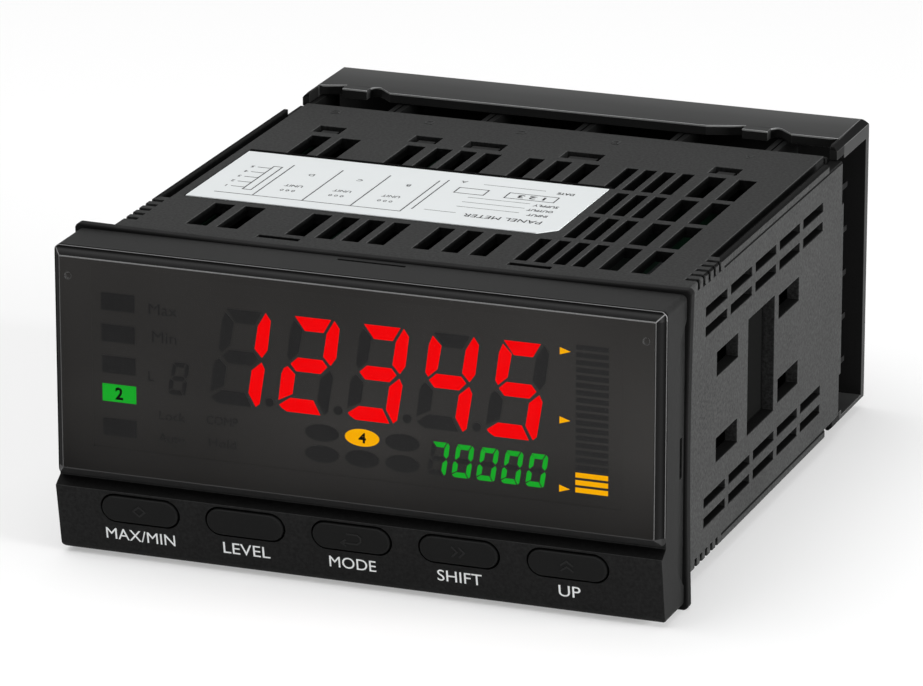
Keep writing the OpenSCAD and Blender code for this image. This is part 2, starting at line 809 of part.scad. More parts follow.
// Circuit card in a socket: its front edge is a narrower tongue
module card(i, shade) {
    tongue = socket_h - 4 - 2 * fit;
    color(shade)
    along_x(card_x[i] - card_t / 2, card_x[i] + card_t / 2)
        polygon([[card_y, -tongue / 2], [card_y, tongue / 2], [socket_end + 1, tongue / 2],
                 [socket_end + 1, card_h / 2], [stop_y - stop_t - fit, card_h / 2],
                 [stop_y - stop_t - fit, inner_h / 2 - stop_rim - fit], [stop_y, inner_h / 2 - stop_rim - fit],
                 [stop_y, -inner_h / 2 + stop_rim + fit], [stop_y - stop_t - fit, -inner_h / 2 + stop_rim + fit],
                 [stop_y - stop_t - fit, -card_h / 2], [socket_end + 1, -card_h / 2], [socket_end + 1, -tongue / 2]]);
}

module on_card(i) {
    translate([card_x[i] + card_t / 2, 0, 0]) children();
}

// Laminated core with two windows, standing on the power card
core_w = 16;
core_h = 26;
core_l = 22;
core_y = 14;
core_leg = 5;
module transformer_core() {
    color([0.45, 0.45, 0.47])
    on_card(0)
        along_x(0, core_w)
            difference() {
                rect(core_y, core_y + core_l, -core_h / 2, core_h / 2);
                for (s = [-1, 1])
                    translate([core_y + core_l / 2, s * core_h / 4])
                        square([core_l - 2 * core_leg, core_h / 2 - 1.5 * core_leg], center = true);
            }
}

// Winding round the middle leg
module transformer_coil() {
    room = core_h / 2 - 1.5 * core_leg - 2 * fit;
    color([0.72, 0.5, 0.2])
    on_card(0)
        along_x(0, core_w)
            for (s = [-1, 1])
                translate([core_y + core_l / 2, s * core_h / 4])
                    square([core_l - 2 * core_leg, room], center = true);
}

// Can with a groove rolled round it near the card
can_d = 14;
can_h = 17;
can_back = 24.5;
can_groove = 0.8;
module smoothing_capacitor() {
    color([0.15, 0.2, 0.35])
    on_card(0)
        translate([0, stop_y - can_back, 0]) rotate([0, 90, 0]) difference() {
            cylinder(d = can_d, h = can_h);
            translate([0, 0, 2 * can_groove]) rotate_extrude() translate([can_d / 2 + 0.3, 0]) circle(can_groove);
        }
}

relay_l = 20;
relay_w = 14;
relay_h = 10;
relay_back = 16.5;
relay_z = 9;
module relay(side) {
    color([0.12, 0.12, 0.14])
    on_card(1)
        along_x(0, relay_h) translate([stop_y - relay_back, side * relay_z]) round_rect(relay_l, relay_w, 0.8);
}

// Square package with two corners cut
chip_w = 14;
chip_t = 1.6;
chip_y = 30;
module processor() {
    color([0.1, 0.1, 0.11])
    on_card(2)
        along_x(0, chip_t) translate([chip_y, 0])
            difference() {
                square([chip_w, chip_w], center = true);
                for (s = [-1, 1]) translate([s * chip_w / 2, s * chip_w / 2]) circle(d = chip_t);
            }
}

// Folded box with a lid, over the input stage
can_wall = 0.5;
shield_l = 30;
shield_w = 24;
shield_h = 7;
shield_y = 40;
module input_shield() {
    color([0.75, 0.76, 0.78])
    on_card(3)
        translate([0, shield_y, 0])
            difference() {
                along_x(0, shield_h) round_rect(shield_l, shield_w, 1);
                along_x(-1, shield_h - can_wall)
                    square([shield_l - 2 * can_wall, shield_w - 2 * can_wall], center = true);
            }
}

function block_x0(i) = i == 0 ? block_left : block_first + (i - 1) * column_w + block_gap / 2;
function block_x1(i) = i == block_count - 1 ? block_right : block_first + i * column_w - block_gap / 2;
clamp_w = block_x1(block_count - 1) - block_x0(block_count - 1) - 2 * (barrier_t + fit);
function block_mid(i) = (block_x0(i) + block_x1(i)) / 2;
function row_z(j) = (j - (row_count - 1) / 2) * row_pitch;

// One column of five terminals: a floor, two side barriers and a barrier between rows
module terminal_block(i) {
    x0 = block_x0(i);
    x1 = block_x1(i);
    open_right = i == block_count - 1 ? 2 : -barrier_t;
    reach = row_pitch / 2 - barrier_t / 2;
    color([0.1, 0.1, 0.1])
    difference() {
        union() {
            along_y(stop_y, lid_len + fit) rect(x0, x1, -inner_h / 2 + fit, inner_h / 2 - fit);
            along_y(lid_len + fit, barrier_y) rect(x0, x1, -barrier_top, barrier_top);
        }
        for (j = [0:row_count - 1])
            along_y(block_floor, barrier_y + 1)
                rect(x0 + barrier_t, x1 + open_right,
                     j == 0 ? -case_h : row_z(j) - reach, j == row_count - 1 ? case_h : row_z(j) + reach);
        for (j = [0:row_count - 1])
            translate([block_mid(i), 0, row_z(j)])
                along_y(block_floor - thread_l - 0.4, block_floor + 1) circle(d = thread_d + 2 * fit);
    }
}

module at_terminals() {
    for (i = [0:block_count - 1], j = [0:row_count - 1])
        translate([block_mid(i), 0, row_z(j)]) children();
}

module terminal_clamps() {
    color([0.78, 0.76, 0.7])
    at_terminals()
        along_y(block_floor, block_floor + clamp_t)
            difference() {
                round_rect(clamp_w, clamp_h, 0.6);
                circle(d = thread_d + 2 * fit);
            }
}

module terminal_screws() {
    color([0.8, 0.8, 0.78])
    at_terminals()
        difference() {
            union() {
                along_y(block_floor + clamp_t, block_floor + clamp_t + head_t) circle(d = head_d);
                along_y(block_floor - thread_l, block_floor + clamp_t + eps) circle(d = thread_d);
            }
            along_y(block_floor + clamp_t + head_t - 1, block_floor + clamp_t + head_t + 1) {
                square([head_d - 1.2, 0.8], center = true);
                square([0.8, head_d - 1.2], center = true);
            }
        }
}

// The cover's section: a hood, a rear wall and a bottom flange, with its rear corners rounded
module cover_section() {
    deep = 20;
    difference() {
        translate([cover_end - deep, 0]) round_rect(2 * deep, cover_h, cover_r);
        rect(cover_end - 3 * deep, cover_y, -cover_h, cover_h);
        rect(cover_y - 1, cover_end - cover_t, -cover_h / 2 + cover_t, cover_h / 2 - cover_t);
    }
}

// Arms with a rounded nose at the four corners, and the lips of the hood that carry the upper two
module cover_arms() {
    z0 = half_case_h - rail_depth + fit;
    for (mx = [0, 1])
        mirror([mx, 0, 0])
            along_x(cover_w / 2 - lip_t, cover_w / 2) {
                for (mz = [0, 1])
                    mirror([0, mz])
                        polygon(concat(
                            [[cover_y + 1, z0], [arm_y, z0]],
                            arc([arm_y + arm_r, arm_top - arm_r], arm_r, 180, 90),
                            [[cover_y + 1, arm_top]]));
                rect(cover_y, cover_end - eps, cover_h / 2 - lip_h, cover_h / 2 - cover_t + eps);
            }
}

module cover_scallops() {
    for (x = scallop_at) {
        from = x + scallop_tab;
        middle = [from + dip_r, cover_y + dip_deep - dip_r];
        foot = [from + dip_w, cover_y];
        // The dip's straight flank touches its round end here
        turn = atan2(foot[1] - middle[1], foot[0] - middle[0]) + acos(dip_r / norm(foot - middle));
        along_z(-cover_h, cover_h) {
            polygon([[x - scallop_ramp, cover_y - 1], [x - scallop_ramp, cover_y], [x, cover_y + scallop_deep],
                     [x, cover_y - 1]]);
            translate(middle) circle(dip_r);
            polygon([[from, cover_y - 1], [from, middle[1]], middle + dip_r * [cos(turn), sin(turn)], foot,
                     [foot[0], cover_y - 1]]);
        }
    }
}

module terminal_cover() {
    color([0.2, 0.205, 0.205])
    intersection() {
        union() {
            difference() {
                along_x(-cover_w / 2, cover_w / 2) cover_section();
                cover_scallops();
            }
            cover_arms();
        }
        along_y(arm_y - 1, cover_end) cut_rect(cover_w, cover_h, cover_edge);
    }
}

front_bezel();
display_window();
display_glass();
unlit_segments();
main_figures();
small_figures();
amber_marks();
green_mark();
light_guide();
reflector_tray();
glass_contact_strip();
display_board();
key_cap(0);  // key_cap_1
key_cap(1);  // key_cap_2
key_cap(2);  // key_cap_3
key_cap(3);  // key_cap_4
key_cap(4);  // key_cap_5
switch_plunger(0);  // switch_plunger_1
switch_plunger(1);  // switch_plunger_2
switch_plunger(2);  // switch_plunger_3
switch_plunger(3);  // switch_plunger_4
switch_plunger(4);  // switch_plunger_5
switch_body(0);  // switch_body_1
switch_body(1);  // switch_body_2
switch_body(2);  // switch_body_3
switch_body(3);  // switch_body_4
switch_body(4);  // switch_body_5
panel_gasket();
rear_case();
case_label();
side_liner(-1);  // side_liner_left
side_liner(1);  // side_liner_right
card_socket(0);  // card_socket_1
card_socket(1);  // card_socket_2
card_socket(2);  // card_socket_3
card_socket(3);  // card_socket_4
card(0, [0.1, 0.35, 0.2]);  // power_card
card(1, [0.1, 0.35, 0.2]);  // output_card
card(2, [0.1, 0.3, 0.25]);  // logic_card
card(3, [0.1, 0.35, 0.2]);  // input_card
transformer_core();
transformer_coil();
smoothing_capacitor();
relay(-1);  // relay_1
relay(1);  // relay_2
processor();
input_shield();
terminal_block(0);  // terminal_block_1
terminal_block(1);  // terminal_block_2
terminal_block(2);  // terminal_block_3
terminal_block(3);  // terminal_block_4
terminal_block(4);  // terminal_block_5
terminal_block(5);  // terminal_block_6
terminal_clamps();
terminal_screws();
terminal_cover();
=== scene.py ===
# %% [markdown]
# # A digital panel meter
# The part is a small instrument that sits in a cut-out of a control panel. The CAD frame already holds
# every solid in its place, so this lesson gives the solids rounded moulded edges, real finishes,
# lettering and light. Everything is in metres in the CAD frame: X to the right, Y to the rear, Z up.
# Most sizes are written in millimetres, and MM turns them into metres where they meet Blender.

# %% Load the frame
import json
import math

import bmesh
import bpy
from mathutils import Matrix, Vector

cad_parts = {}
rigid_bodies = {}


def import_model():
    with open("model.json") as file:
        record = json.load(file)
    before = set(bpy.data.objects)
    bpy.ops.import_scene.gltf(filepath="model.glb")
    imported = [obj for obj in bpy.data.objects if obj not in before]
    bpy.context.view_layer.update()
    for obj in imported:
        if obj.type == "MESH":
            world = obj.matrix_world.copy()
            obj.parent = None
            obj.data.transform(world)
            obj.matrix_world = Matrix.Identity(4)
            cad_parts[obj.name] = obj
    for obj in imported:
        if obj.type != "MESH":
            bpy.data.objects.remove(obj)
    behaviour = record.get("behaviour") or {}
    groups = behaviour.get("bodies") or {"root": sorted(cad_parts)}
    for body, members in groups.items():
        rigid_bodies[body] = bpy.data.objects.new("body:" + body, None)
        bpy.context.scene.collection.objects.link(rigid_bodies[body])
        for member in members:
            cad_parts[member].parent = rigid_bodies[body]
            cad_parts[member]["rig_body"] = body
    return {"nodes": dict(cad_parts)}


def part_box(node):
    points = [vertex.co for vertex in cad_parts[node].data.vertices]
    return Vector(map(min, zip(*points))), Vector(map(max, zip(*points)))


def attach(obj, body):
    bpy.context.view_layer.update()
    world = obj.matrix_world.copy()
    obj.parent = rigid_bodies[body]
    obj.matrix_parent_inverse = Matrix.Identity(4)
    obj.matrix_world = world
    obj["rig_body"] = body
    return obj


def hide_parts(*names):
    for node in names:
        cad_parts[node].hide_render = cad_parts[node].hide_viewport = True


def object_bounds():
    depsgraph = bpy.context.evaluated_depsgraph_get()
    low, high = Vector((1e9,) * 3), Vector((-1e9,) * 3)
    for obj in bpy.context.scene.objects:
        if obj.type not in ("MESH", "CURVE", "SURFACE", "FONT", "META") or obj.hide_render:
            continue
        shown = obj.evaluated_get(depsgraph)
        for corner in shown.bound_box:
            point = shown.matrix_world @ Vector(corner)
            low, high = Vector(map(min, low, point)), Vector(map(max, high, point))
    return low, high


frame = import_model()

cad_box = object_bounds()
NODES = frame["nodes"]
MM = 0.001
HOUSING = "housing"


def in_scene(name, data):
    """A new object around some data, linked into the scene."""
    made = bpy.data.objects.new(name, data)
    bpy.context.scene.collection.objects.link(made)
    return made


def as_mesh(made):
    """An object's shape with its modifiers applied, as a plain mesh."""
    bpy.context.view_layer.update()
    return bpy.data.meshes.new_from_object(made.evaluated_get(bpy.context.evaluated_depsgraph_get()))


print("nodes:", len(NODES), "box in mm:", [round(v / MM, 1) for v in cad_box[1] - cad_box[0]])

# %% [markdown]
# ## Camera
# A long lens far away keeps the case's edges almost parallel, as a product photograph does. A camera can
# be aimed with a Track To constraint, but a matrix from the azimuth and elevation gives the same view on
# every run and needs no target object.

# %% Set the camera
IMAGE_WIDTH = 923
SENSOR = 36
FAR = 20
FOCAL_PIXELS = 6368.9
AZIMUTH = math.radians(20.503)
ELEVATION = math.radians(17.954)
DISTANCE = 945.3 * MM
SHIFT_RIGHT = 11.70 * MM
SHIFT_UP = 10.18 * MM

level = math.cos(ELEVATION)
right = Vector((math.cos(AZIMUTH), math.sin(AZIMUTH), 0))
back = Vector((math.sin(AZIMUTH) * level, -math.cos(AZIMUTH) * level, math.sin(ELEVATION)))
up = back.cross(right)
turn = Matrix((right, up, back)).transposed().to_4x4()
camera = in_scene("camera", bpy.data.cameras.new("camera"))
camera.matrix_world = Matrix.Translation(right * SHIFT_RIGHT + up * SHIFT_UP + back * DISTANCE) @ turn
camera.data.sensor_fit = "HORIZONTAL"
camera.data.sensor_width = SENSOR
camera.data.lens = FOCAL_PIXELS / IMAGE_WIDTH * SENSOR
camera.data.clip_end = FAR
bpy.context.scene.camera = camera
print("lens in mm:", round(camera.data.lens, 1))

# %% [markdown]
# ## Shader arithmetic
# A procedural finish is a small sum: so much grain, less where an edge is worn. Placing Math nodes one by
# one hides that sum, so a small class wraps a socket and lets Python's own operators add the nodes. Every
# other node comes from one method that sets the node's options first and its sockets after that.

# %% Wrap sockets and node trees
class Wire:
    """One output socket, with arithmetic that adds Math nodes."""

    def __init__(self, graph, socket):
        self.graph = graph
        self.socket = socket

    def math(self, operation, first, second):
        return self.graph.node("ShaderNodeMath", {"operation": operation}, {0: first, 1: second})

    def __add__(self, other):
        return self.math("ADD", self, other)

    def __sub__(self, other):
        return self.math("SUBTRACT", self, other)

    def __rsub__(self, other):
        return self.math("SUBTRACT", other, self)

    def __mul__(self, other):
        return self.math("MULTIPLY", self, other)

    def __lt__(self, other):
        return self.math("LESS_THAN", self, other)

    def __abs__(self):
        return self.math("ABSOLUTE", self, 0)

    def least(self, other):
        return self.math("MINIMUM", self, other)

    def most(self, other):
        return self.math("MAXIMUM", self, other)

    __radd__ = __add__
    __rmul__ = __mul__


class Graph:
    """A node tree, with one method that makes every kind of node."""

    def __init__(self, tree):
        self.tree = tree

    def fill(self, node, values):
        for key, value in values.items():
            if isinstance(value, Wire):
                self.tree.links.new(value.socket, node.inputs[key])
            else:
                node.inputs[key].default_value = value

    def node(self, kind, settings=None, values=None, output=0):
        made = self.tree.nodes.new(kind)
        for key, value in (settings or {}).items():
            setattr(made, key, value)
        self.fill(made, values or {})
        return Wire(self, made.outputs[output])

    def seen(self):
        """One for a ray from the camera, from gloss or from glass, and zero for light that spreads."""
        camera_ray, gloss_ray, glass_ray = (
            self.node("ShaderNodeLightPath", output="Is %s Ray" % kind)
            for kind in ("Camera", "Glossy", "Transmission"))
        return camera_ray.most(gloss_ray).most(glass_ray)


print("sockets and trees wrapped")

# %% Wrap materials
class Finish(Graph):
    """One material, with the patterns that the finishes share. Scales are in repeats to a millimetre."""

    def __init__(self, name):
        self.material = bpy.data.materials.new(name)
        self.material.use_nodes = True
        super().__init__(self.material.node_tree)
        self.shader = self.tree.nodes["Principled BSDF"]

    def place(self):
        return self.node("ShaderNodeTexCoord", output="Object")

    def axis(self, place, index):
        return self.node("ShaderNodeSeparateXYZ", values={0: place}, output=index)

    def attribute(self, name):
        return self.node("ShaderNodeAttribute", {"attribute_name": name}, output="Fac")

    def noise(self, place, scale, detail=2.0, rough=0.5):
        return self.node("ShaderNodeTexNoise", values={
            "Vector": place, "Scale": scale / MM, "Detail": detail, "Roughness": rough})

    def mix(self, amount, first, second):
        return self.node("ShaderNodeMix", {"data_type": "RGBA"}, {0: amount, 6: first, 7: second}, 2)

    def bump(self, height, depth, strength):
        return self.node("ShaderNodeBump", values={
            "Height": height, "Distance": depth * MM, "Strength": strength})

    def surface(self, **values):
        self.fill(self.shader, {key.replace("_", " "): value for key, value in values.items()})
        return self.material


def grey(value, tint=(1.0, 1.0, 1.0)):
    return (value * tint[0], value * tint[1], value * tint[2], 1.0)


def dimmed(colour, share):
    return tuple(c * share for c in colour[:3]) + (1.0,)


print("materials wrapped")

# %% [markdown]
# ## Moulded plastics
# The case, bezel, keys and cover are moulded in black plastic against a spark-eroded steel tool, which
# leaves a fine matte grain. A noise of a few specks to the millimetre gives both the mottled tone and the
# bump. A scanned texture could do this too, but noise has no seams and one scale on every piece. Two
# attributes of the mesh steer the rest. Rounded edges rub smooth, so faces with the attribute edge are
# glossier, and a painted highlight makes them paler. The attribute dark paints shade into the base colour
# of faces in slots, in the groove and under the hood, and a little on the case's top. Below zero it paints
# a highlight instead, as along the cover's front edge.

# %% Define the grained plastic
COOL = (0.985, 1.0, 0.992)
HEADROOM = 10
PAINTED_SHADE_STRENGTH = 0.92


def grained_plastic(name, shade, roughness, grain, depth, gloss, contrast, edge_highlight=0.4, edge_gloss=0.0):
    """A mottled plastic. A mix stops at its second colour, so HEADROOM puts that well above the shade."""
    finish = Finish(name)
    place = finish.place()
    speck = finish.noise(place, grain, 3.0, 0.65)
    cloud = finish.noise(place, 0.045, 3.0, 0.55)
    edge = finish.attribute("edge")
    # The attribute dark paints shade into the base colour, and below zero it paints a highlight.
    painted_light = 1 - finish.attribute("dark") * PAINTED_SHADE_STRENGTH
    # Grain, a slow cloud, and a painted highlight on rounded edges.
    light = 1 + (speck - 0.5) * contrast + (cloud - 0.5) * 0.4 + edge * edge_highlight
    return finish.surface(
        Base_Color=finish.mix(light * painted_light * (1 / HEADROOM), grey(0.0), grey(shade * HEADROOM, COOL)),
        Roughness=roughness + (speck - 0.5) * 0.25 - edge * 0.12, Specular_IOR_Level=0.02,
        Coat_Weight=painted_light.least(2.0) * (edge * edge_gloss + gloss), Coat_Roughness=0.5,
        Normal=finish.bump(speck, depth, 0.6))


case_plastic = grained_plastic(
    "case plastic", shade=0.03, roughness=0.66, grain=2.1, depth=0.03, gloss=0.15, contrast=2.8)
bezel_plastic = grained_plastic(
    "bezel plastic", shade=0.0095, roughness=0.55, grain=1.9, depth=0.02, gloss=0.13, contrast=2.2,
    edge_highlight=0.6)
key_plastic = grained_plastic(
    "key plastic", shade=0.0075, roughness=0.55, grain=4.6, depth=0.012, gloss=0.12, contrast=0.7,
    edge_highlight=0.15)
cover_plastic = grained_plastic(
    "cover plastic", shade=0.029, roughness=0.55, grain=4.4, depth=0.012, gloss=0.15, contrast=0.6,
    edge_highlight=0.9, edge_gloss=0.7)
terminal_plastic = grained_plastic(
    "terminal plastic", shade=0.005, roughness=0.5, grain=3.0, depth=0.02, gloss=0.03, contrast=0.5,
    edge_highlight=0.2)
for plastic in (case_plastic, bezel_plastic, key_plastic, cover_plastic, terminal_plastic):
    print(plastic.name)

# %% [markdown]
# ## Rounded edges
# A solid from CAD has razor edges, and a render shows at once that no tool could mould them. A Bevel
# modifier on the CAD mesh is out, because that mesh is fixed and made of loose triangles. So a copy is
# merged, its flat triangles are dissolved into faces, and its sharp edges are bevelled with bmesh. Where a
# bevel is too wide for a narrow face, the face folds over itself and its triangles cover more than the face
# did, so the width is cut until that stops. A Weighted Normal modifier keeps the large faces flat to the
# eye, which plain smooth shading next to a narrow bevel would not.

# %% Round the edges of a copy
SAME_POINT = 0.002
FLAT = math.radians(0.6)
SHARP = math.radians(28)


def rounded(mesh, width, segments, merge):
    """A bevelled copy, and the area in square millimetres by which its faces fold over themselves."""
    shape = bmesh.new()
    shape.from_mesh(mesh)
    edge = shape.faces.layers.float.new("edge")
    bmesh.ops.remove_doubles(shape, verts=shape.verts, dist=SAME_POINT * MM)
    bmesh.ops.dissolve_limit(
        shape, angle_limit=FLAT, verts=shape.verts, edges=shape.edges, delimit={"NORMAL"})
    bmesh.ops.remove_doubles(shape, verts=shape.verts, dist=merge * MM)
    sharp = [e for e in shape.edges if len(e.link_faces) == 2 and e.calc_face_angle() > SHARP]
    made = bmesh.ops.bevel(
        shape, geom=sharp, offset=width * MM, offset_type="OFFSET", segments=segments, profile=0.5,
        affect="EDGES", clamp_overlap=False, loop_slide=True)
    for face in made["faces"]:
        face[edge] = 1.0
    wide = [f for f in shape.faces if len(f.verts) > 4]
    area = sum(f.calc_area() for f in wide)
    cut = bmesh.ops.triangulate(shape, faces=wide)
    folded = sum(f.calc_area() for f in cut["faces"]) - area
    bmesh.ops.recalc_face_normals(shape, faces=shape.faces)
    shape.normal_update()
    return shape, folded / MM ** 2


print("bevels edges sharper than", round(math.degrees(SHARP)), "degrees")

# %% Make a finished piece from the copy
FOLD_LIMIT = 0.05
NARROWEST = 0.02
NARROWER = 0.6


def finished_piece(name, mesh, material, body, nodes=()):
    """An object that rides on a body, and stands in for the CAD nodes that are named."""
    piece = in_scene(name, mesh)
    mesh.materials.clear()
    mesh.materials.append(material)
    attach(piece, body)
    if nodes:
        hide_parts(*nodes)
    return piece


def paint_shade(shape, shade_rule):
    """Writes the attribute dark, the painted shade, at the corners of every face."""
    dark = shape.loops.layers.float.new("dark")
    for face in shape.faces if shade_rule else ():
        middle = face.calc_center_median() / MM
        for corner in face.loops:
            corner[dark] = shade_rule(middle, face.normal, corner.vert.co / MM)


def softened(node, material, width, segments=2, smooth=22, shade_rule=None, merge=SAME_POINT, cuts=()):
    """A node's solid with rounded edges. A cut goes through its point, square to the way there."""
    shape, folded = rounded(NODES[node].data, width, segments, merge)
    while folded > FOLD_LIMIT and width > NARROWEST:
        shape.free()
        width *= NARROWER
        shape, folded = rounded(NODES[node].data, width, segments, merge)
    for point in cuts:
        everything = list(shape.verts) + list(shape.edges) + list(shape.faces)
        across = Vector(point).normalized()
        bmesh.ops.bisect_plane(shape, geom=everything, plane_co=Vector(point) * MM, plane_no=across)
    paint_shade(shape, shade_rule)
    mesh = bpy.data.meshes.new(node + "_shell")
    shape.to_mesh(mesh)
    shape.free()
    mesh.polygons.foreach_set("use_smooth", [True] * len(mesh.polygons))
    mesh.set_sharp_from_angle(angle=math.radians(smooth))
    piece = finished_piece(
        node + "_shell", mesh, material, NODES[node]["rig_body"], (node,))
    piece.modifiers.new("even shading", "WEIGHTED_NORMAL").keep_sharp = True
    return piece


print("pieces keep bevels down to", NARROWEST, "mm")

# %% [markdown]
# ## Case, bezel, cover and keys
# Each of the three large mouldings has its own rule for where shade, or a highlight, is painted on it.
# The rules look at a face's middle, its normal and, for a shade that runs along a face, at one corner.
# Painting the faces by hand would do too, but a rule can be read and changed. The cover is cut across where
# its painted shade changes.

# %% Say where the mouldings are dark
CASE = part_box("rear_case")[1] / MM
TOP_SHADE = 0.28
TONGUE_SHADE = 0.6
TONGUE_DEPTH = 0.1
JAMB_SHADE = 0.45
JAMB_DEPTH = 2.5
JAMB_REACH = 17.0
RAIL_SHADE = 0.95
RAIL_WIDTH = 1.0
RAIL_START = 12.0
SLOT_SHADE = 0.9
SLOT_START = 0.4
SLOT_BLEND = 0.35
SHADED = 0.75
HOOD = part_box("terminal_cover")[1] / MM
HOOD_FRONT = 84.5
HOOD_MIDDLE = 91.0
BROW = 0.28
BROW_HIGHLIGHT = -5.0
BROW_END = 3
CHAMFER = 0.9
GROOVE = (-13.3, -12.3)


def in_slots(at, normal, corner):
    """Painted shade on the case's slot walls, its rails, the rear jambs of its side windows and, a little,
    its top.
    """
    deep = min(CASE.x - abs(at.x), CASE.z - abs(at.z))
    if normal.y < -0.9 and CASE.x - abs(at.x) < JAMB_DEPTH and abs(at.z) < JAMB_REACH:
        return JAMB_SHADE
    if normal.z > 0.2 and abs(at.x) > CASE.x - RAIL_WIDTH and at.y > RAIL_START:
        return RAIL_SHADE
    top = 0.0
    if normal.z > 0.9:
        top = TONGUE_SHADE if deep > TONGUE_DEPTH else TOP_SHADE
    return max(top, min(SLOT_SHADE, (deep - SLOT_START) / SLOT_BLEND))


def under_hood(at, normal, corner):
    """Painted shade on the cover's chamfers, arms and front, a painted highlight on its front edge, and a top
    painted paler to the rear.
    """
    forward = normal.y < -0.3
    if forward and at.z > HOOD.z - BROW and abs(at.x) < HOOD.x - BROW_END:
        # The front edge gets a painted highlight.
        return BROW_HIGHLIGHT
    if abs(at.x) > HOOD.x - CHAMFER and abs(at.z) > HOOD.z - CHAMFER:
        return 1.0
    if at.y < HOOD_FRONT or forward and abs(normal.z) < 0.5:
        return SHADED
    to_rear = (corner.y - HOOD_FRONT) / (HOOD.y - HOOD_FRONT)
    return 0.2 - 1.1 * to_rear * to_rear if normal.z > 0.9 else 0.0


def in_groove(at, normal, corner):
    """Painted shade on the slope between the window and the face of the key strip."""
    return SHADED if GROOVE[0] < at.z < GROOVE[1] and normal.z > 0.3 and normal.y < -0.1 else 0.0


print("rules for dark faces: 3")

# %% Make the mouldings
KEYS = range(1, 6)
COLUMNS = range(1, 7)
shells = [
    softened("rear_case", case_plastic, 0.12, shade_rule=in_slots),
    softened("front_bezel", bezel_plastic, 0.16, shade_rule=in_groove),
    softened("terminal_cover", cover_plastic, 0.08, shade_rule=under_hood, merge=0.06,
             cuts=((0, HOOD_FRONT, 0), (0, HOOD_MIDDLE, 0), (0, 0, HOOD.z - BROW))),
]
shells += [softened("key_cap_%d" % i, key_plastic, 0.28, 3) for i in KEYS]
shells += [softened("terminal_block_%d" % i, terminal_plastic, 0.09) for i in COLUMNS]
for shell in shells:
    print(shell.name, len(shell.data.polygons), "faces")

# %% [markdown]
# ## Gasket
# The rubber ring between bezel and panel is soft, with a dull bloom. It is the CAD ring with rounder edges
# and a finish that is nearly black.

# %% Make the gasket
def rubber(name, shade):
    finish = Finish(name)
    place = finish.place()
    bloom = finish.noise(place, 0.25, 4.0, 0.6)
    fine = finish.noise(place, 3.0)
    return finish.surface(
        Base_Color=finish.mix(bloom, grey(shade * 0.6), grey(shade * 1.5)),
        Roughness=0.5 + bloom * 0.25, Specular_IOR_Level=0.04, Normal=finish.bump(fine, 0.01, 0.4))


gasket = softened("panel_gasket", rubber("gasket rubber", 0.006), 0.3, 3, 32)
print(gasket.name, len(gasket.data.polygons), "faces")

# %% [markdown]
# ## Window
# The window is one smoked moulding. Its flat front lets the display show through, while its bevelled rim is
# painted black from behind. Glass with refraction would need many samples, so the pane is black, and
# see-through only inside the rim, where its alpha is low. There it has little gloss, because a mirror with a
# low alpha renders as grain. The rounded edges are painted pale, a painted highlight that shows as thin lines
# round the rim, and a painted sheen runs along the bevel; the rims of the dimples get a painted glint. Paint
# takes the gloss off the rim, except along the foot, which mirrors the floor and is also painted paler, a
# painted reflection of it.

# %% Make the window pane
RIM_WIDTH = 1.42 * MM
VEIL = 0.1
PAINTED_SHEEN_AT = 0.6 * MM
PAINTED_SHEEN_FALL = 2.4 / MM
DIMPLE_DEPTH = 0.3 * MM


def smoked_pane(name, low, high):
    finish = Finish(name)
    place = finish.place()
    middle = (low + high) / 2
    reach = (high - low) / 2
    across, through, height = (finish.axis(place, index) for index in range(3))
    from_side = reach.x - abs(across - middle.x)
    from_edge = from_side.least(reach.z - abs(height - middle.z))
    border = from_edge < RIM_WIDTH
    inside = 1 - border
    front = through < middle.y
    dimple = (through < high.y - DIMPLE_DEPTH) * (1 - front)
    foot = (height < low.z + RIM_WIDTH) * border
    brow = (1 - (height < high.z - RIM_WIDTH)) * border
    # The rims of the dimples get a painted glint.
    spot = finish.attribute("edge") * inside
    edge = finish.attribute("edge") * border
    # A painted sheen along the middle of the bevel.
    painted_sheen = 1 - (abs(from_edge - PAINTED_SHEEN_AT) * PAINTED_SHEEN_FALL).least(1.0)
    # The rim's black paint, a painted sheen strongest along the top, and a foot painted paler, a painted
    # reflection of the floor.
    face = border * 0.02 + painted_sheen * (brow * 0.07 + (border - foot) * 0.025) + foot * 0.09
    # Rounded edges are painted pale, most along the top: a painted highlight.
    pale = face * (1 - edge) + edge * (0.4 + brow * 0.4 - foot * 0.3) + spot * 0.4
    gloss = inside * 0.12 + border * 0.1 + foot * 0.3 + edge * 0.3
    haze = finish.noise(place, 0.02)
    return finish.surface(
        Base_Color=finish.mix(pale, grey(0.001), grey(0.2)), Roughness=0.3 + haze * 0.1,
        Specular_IOR_Level=0.0, Coat_Weight=gloss * front, Coat_Roughness=0.12,
        Alpha=1 - inside * (1 - front * VEIL) * (1 - dimple * 0.7) + spot * 0.6)


pane_low, pane_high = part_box("display_window")
pane = softened("display_window", smoked_pane("smoked window", pane_low, pane_high), 0.1, 2, 35)
print(pane.name, [round(v / MM, 1) for v in pane_high - pane_low])

# %% [markdown]
# ## Display
# The display glass is a negative one. Its ground and its unlit segments glow with painted light, which
# stands in for the room light they would send back through the smoked pane, so the ground is not quite
# black and unlit segments show a shade darker. Lit segments glow evenly through coloured filters. All of
# them are plain emitters over a dark body, which needs no light of its own behind the glass, and a slow
# noise keeps the glow from being perfectly even.

# %% Finish the display
WARM = (1.04, 1.0, 0.96)
GLOW = 1.16
PAINTED_SHADE_FADE = 8 * MM
LEDGE = 2.0
RED = (0.85, 0.0, 0.001, 1.0)
GREEN = (0.008, 0.36, 0.02, 1.0)
AMBER = (0.9, 0.41, 0.0, 1.0)


def emitter(finish, colour, strength=1.0):
    return finish.surface(
        Base_Color=grey(0.004), Roughness=0.6, Specular_IOR_Level=0.0, Emission_Color=colour,
        Emission_Strength=strength)


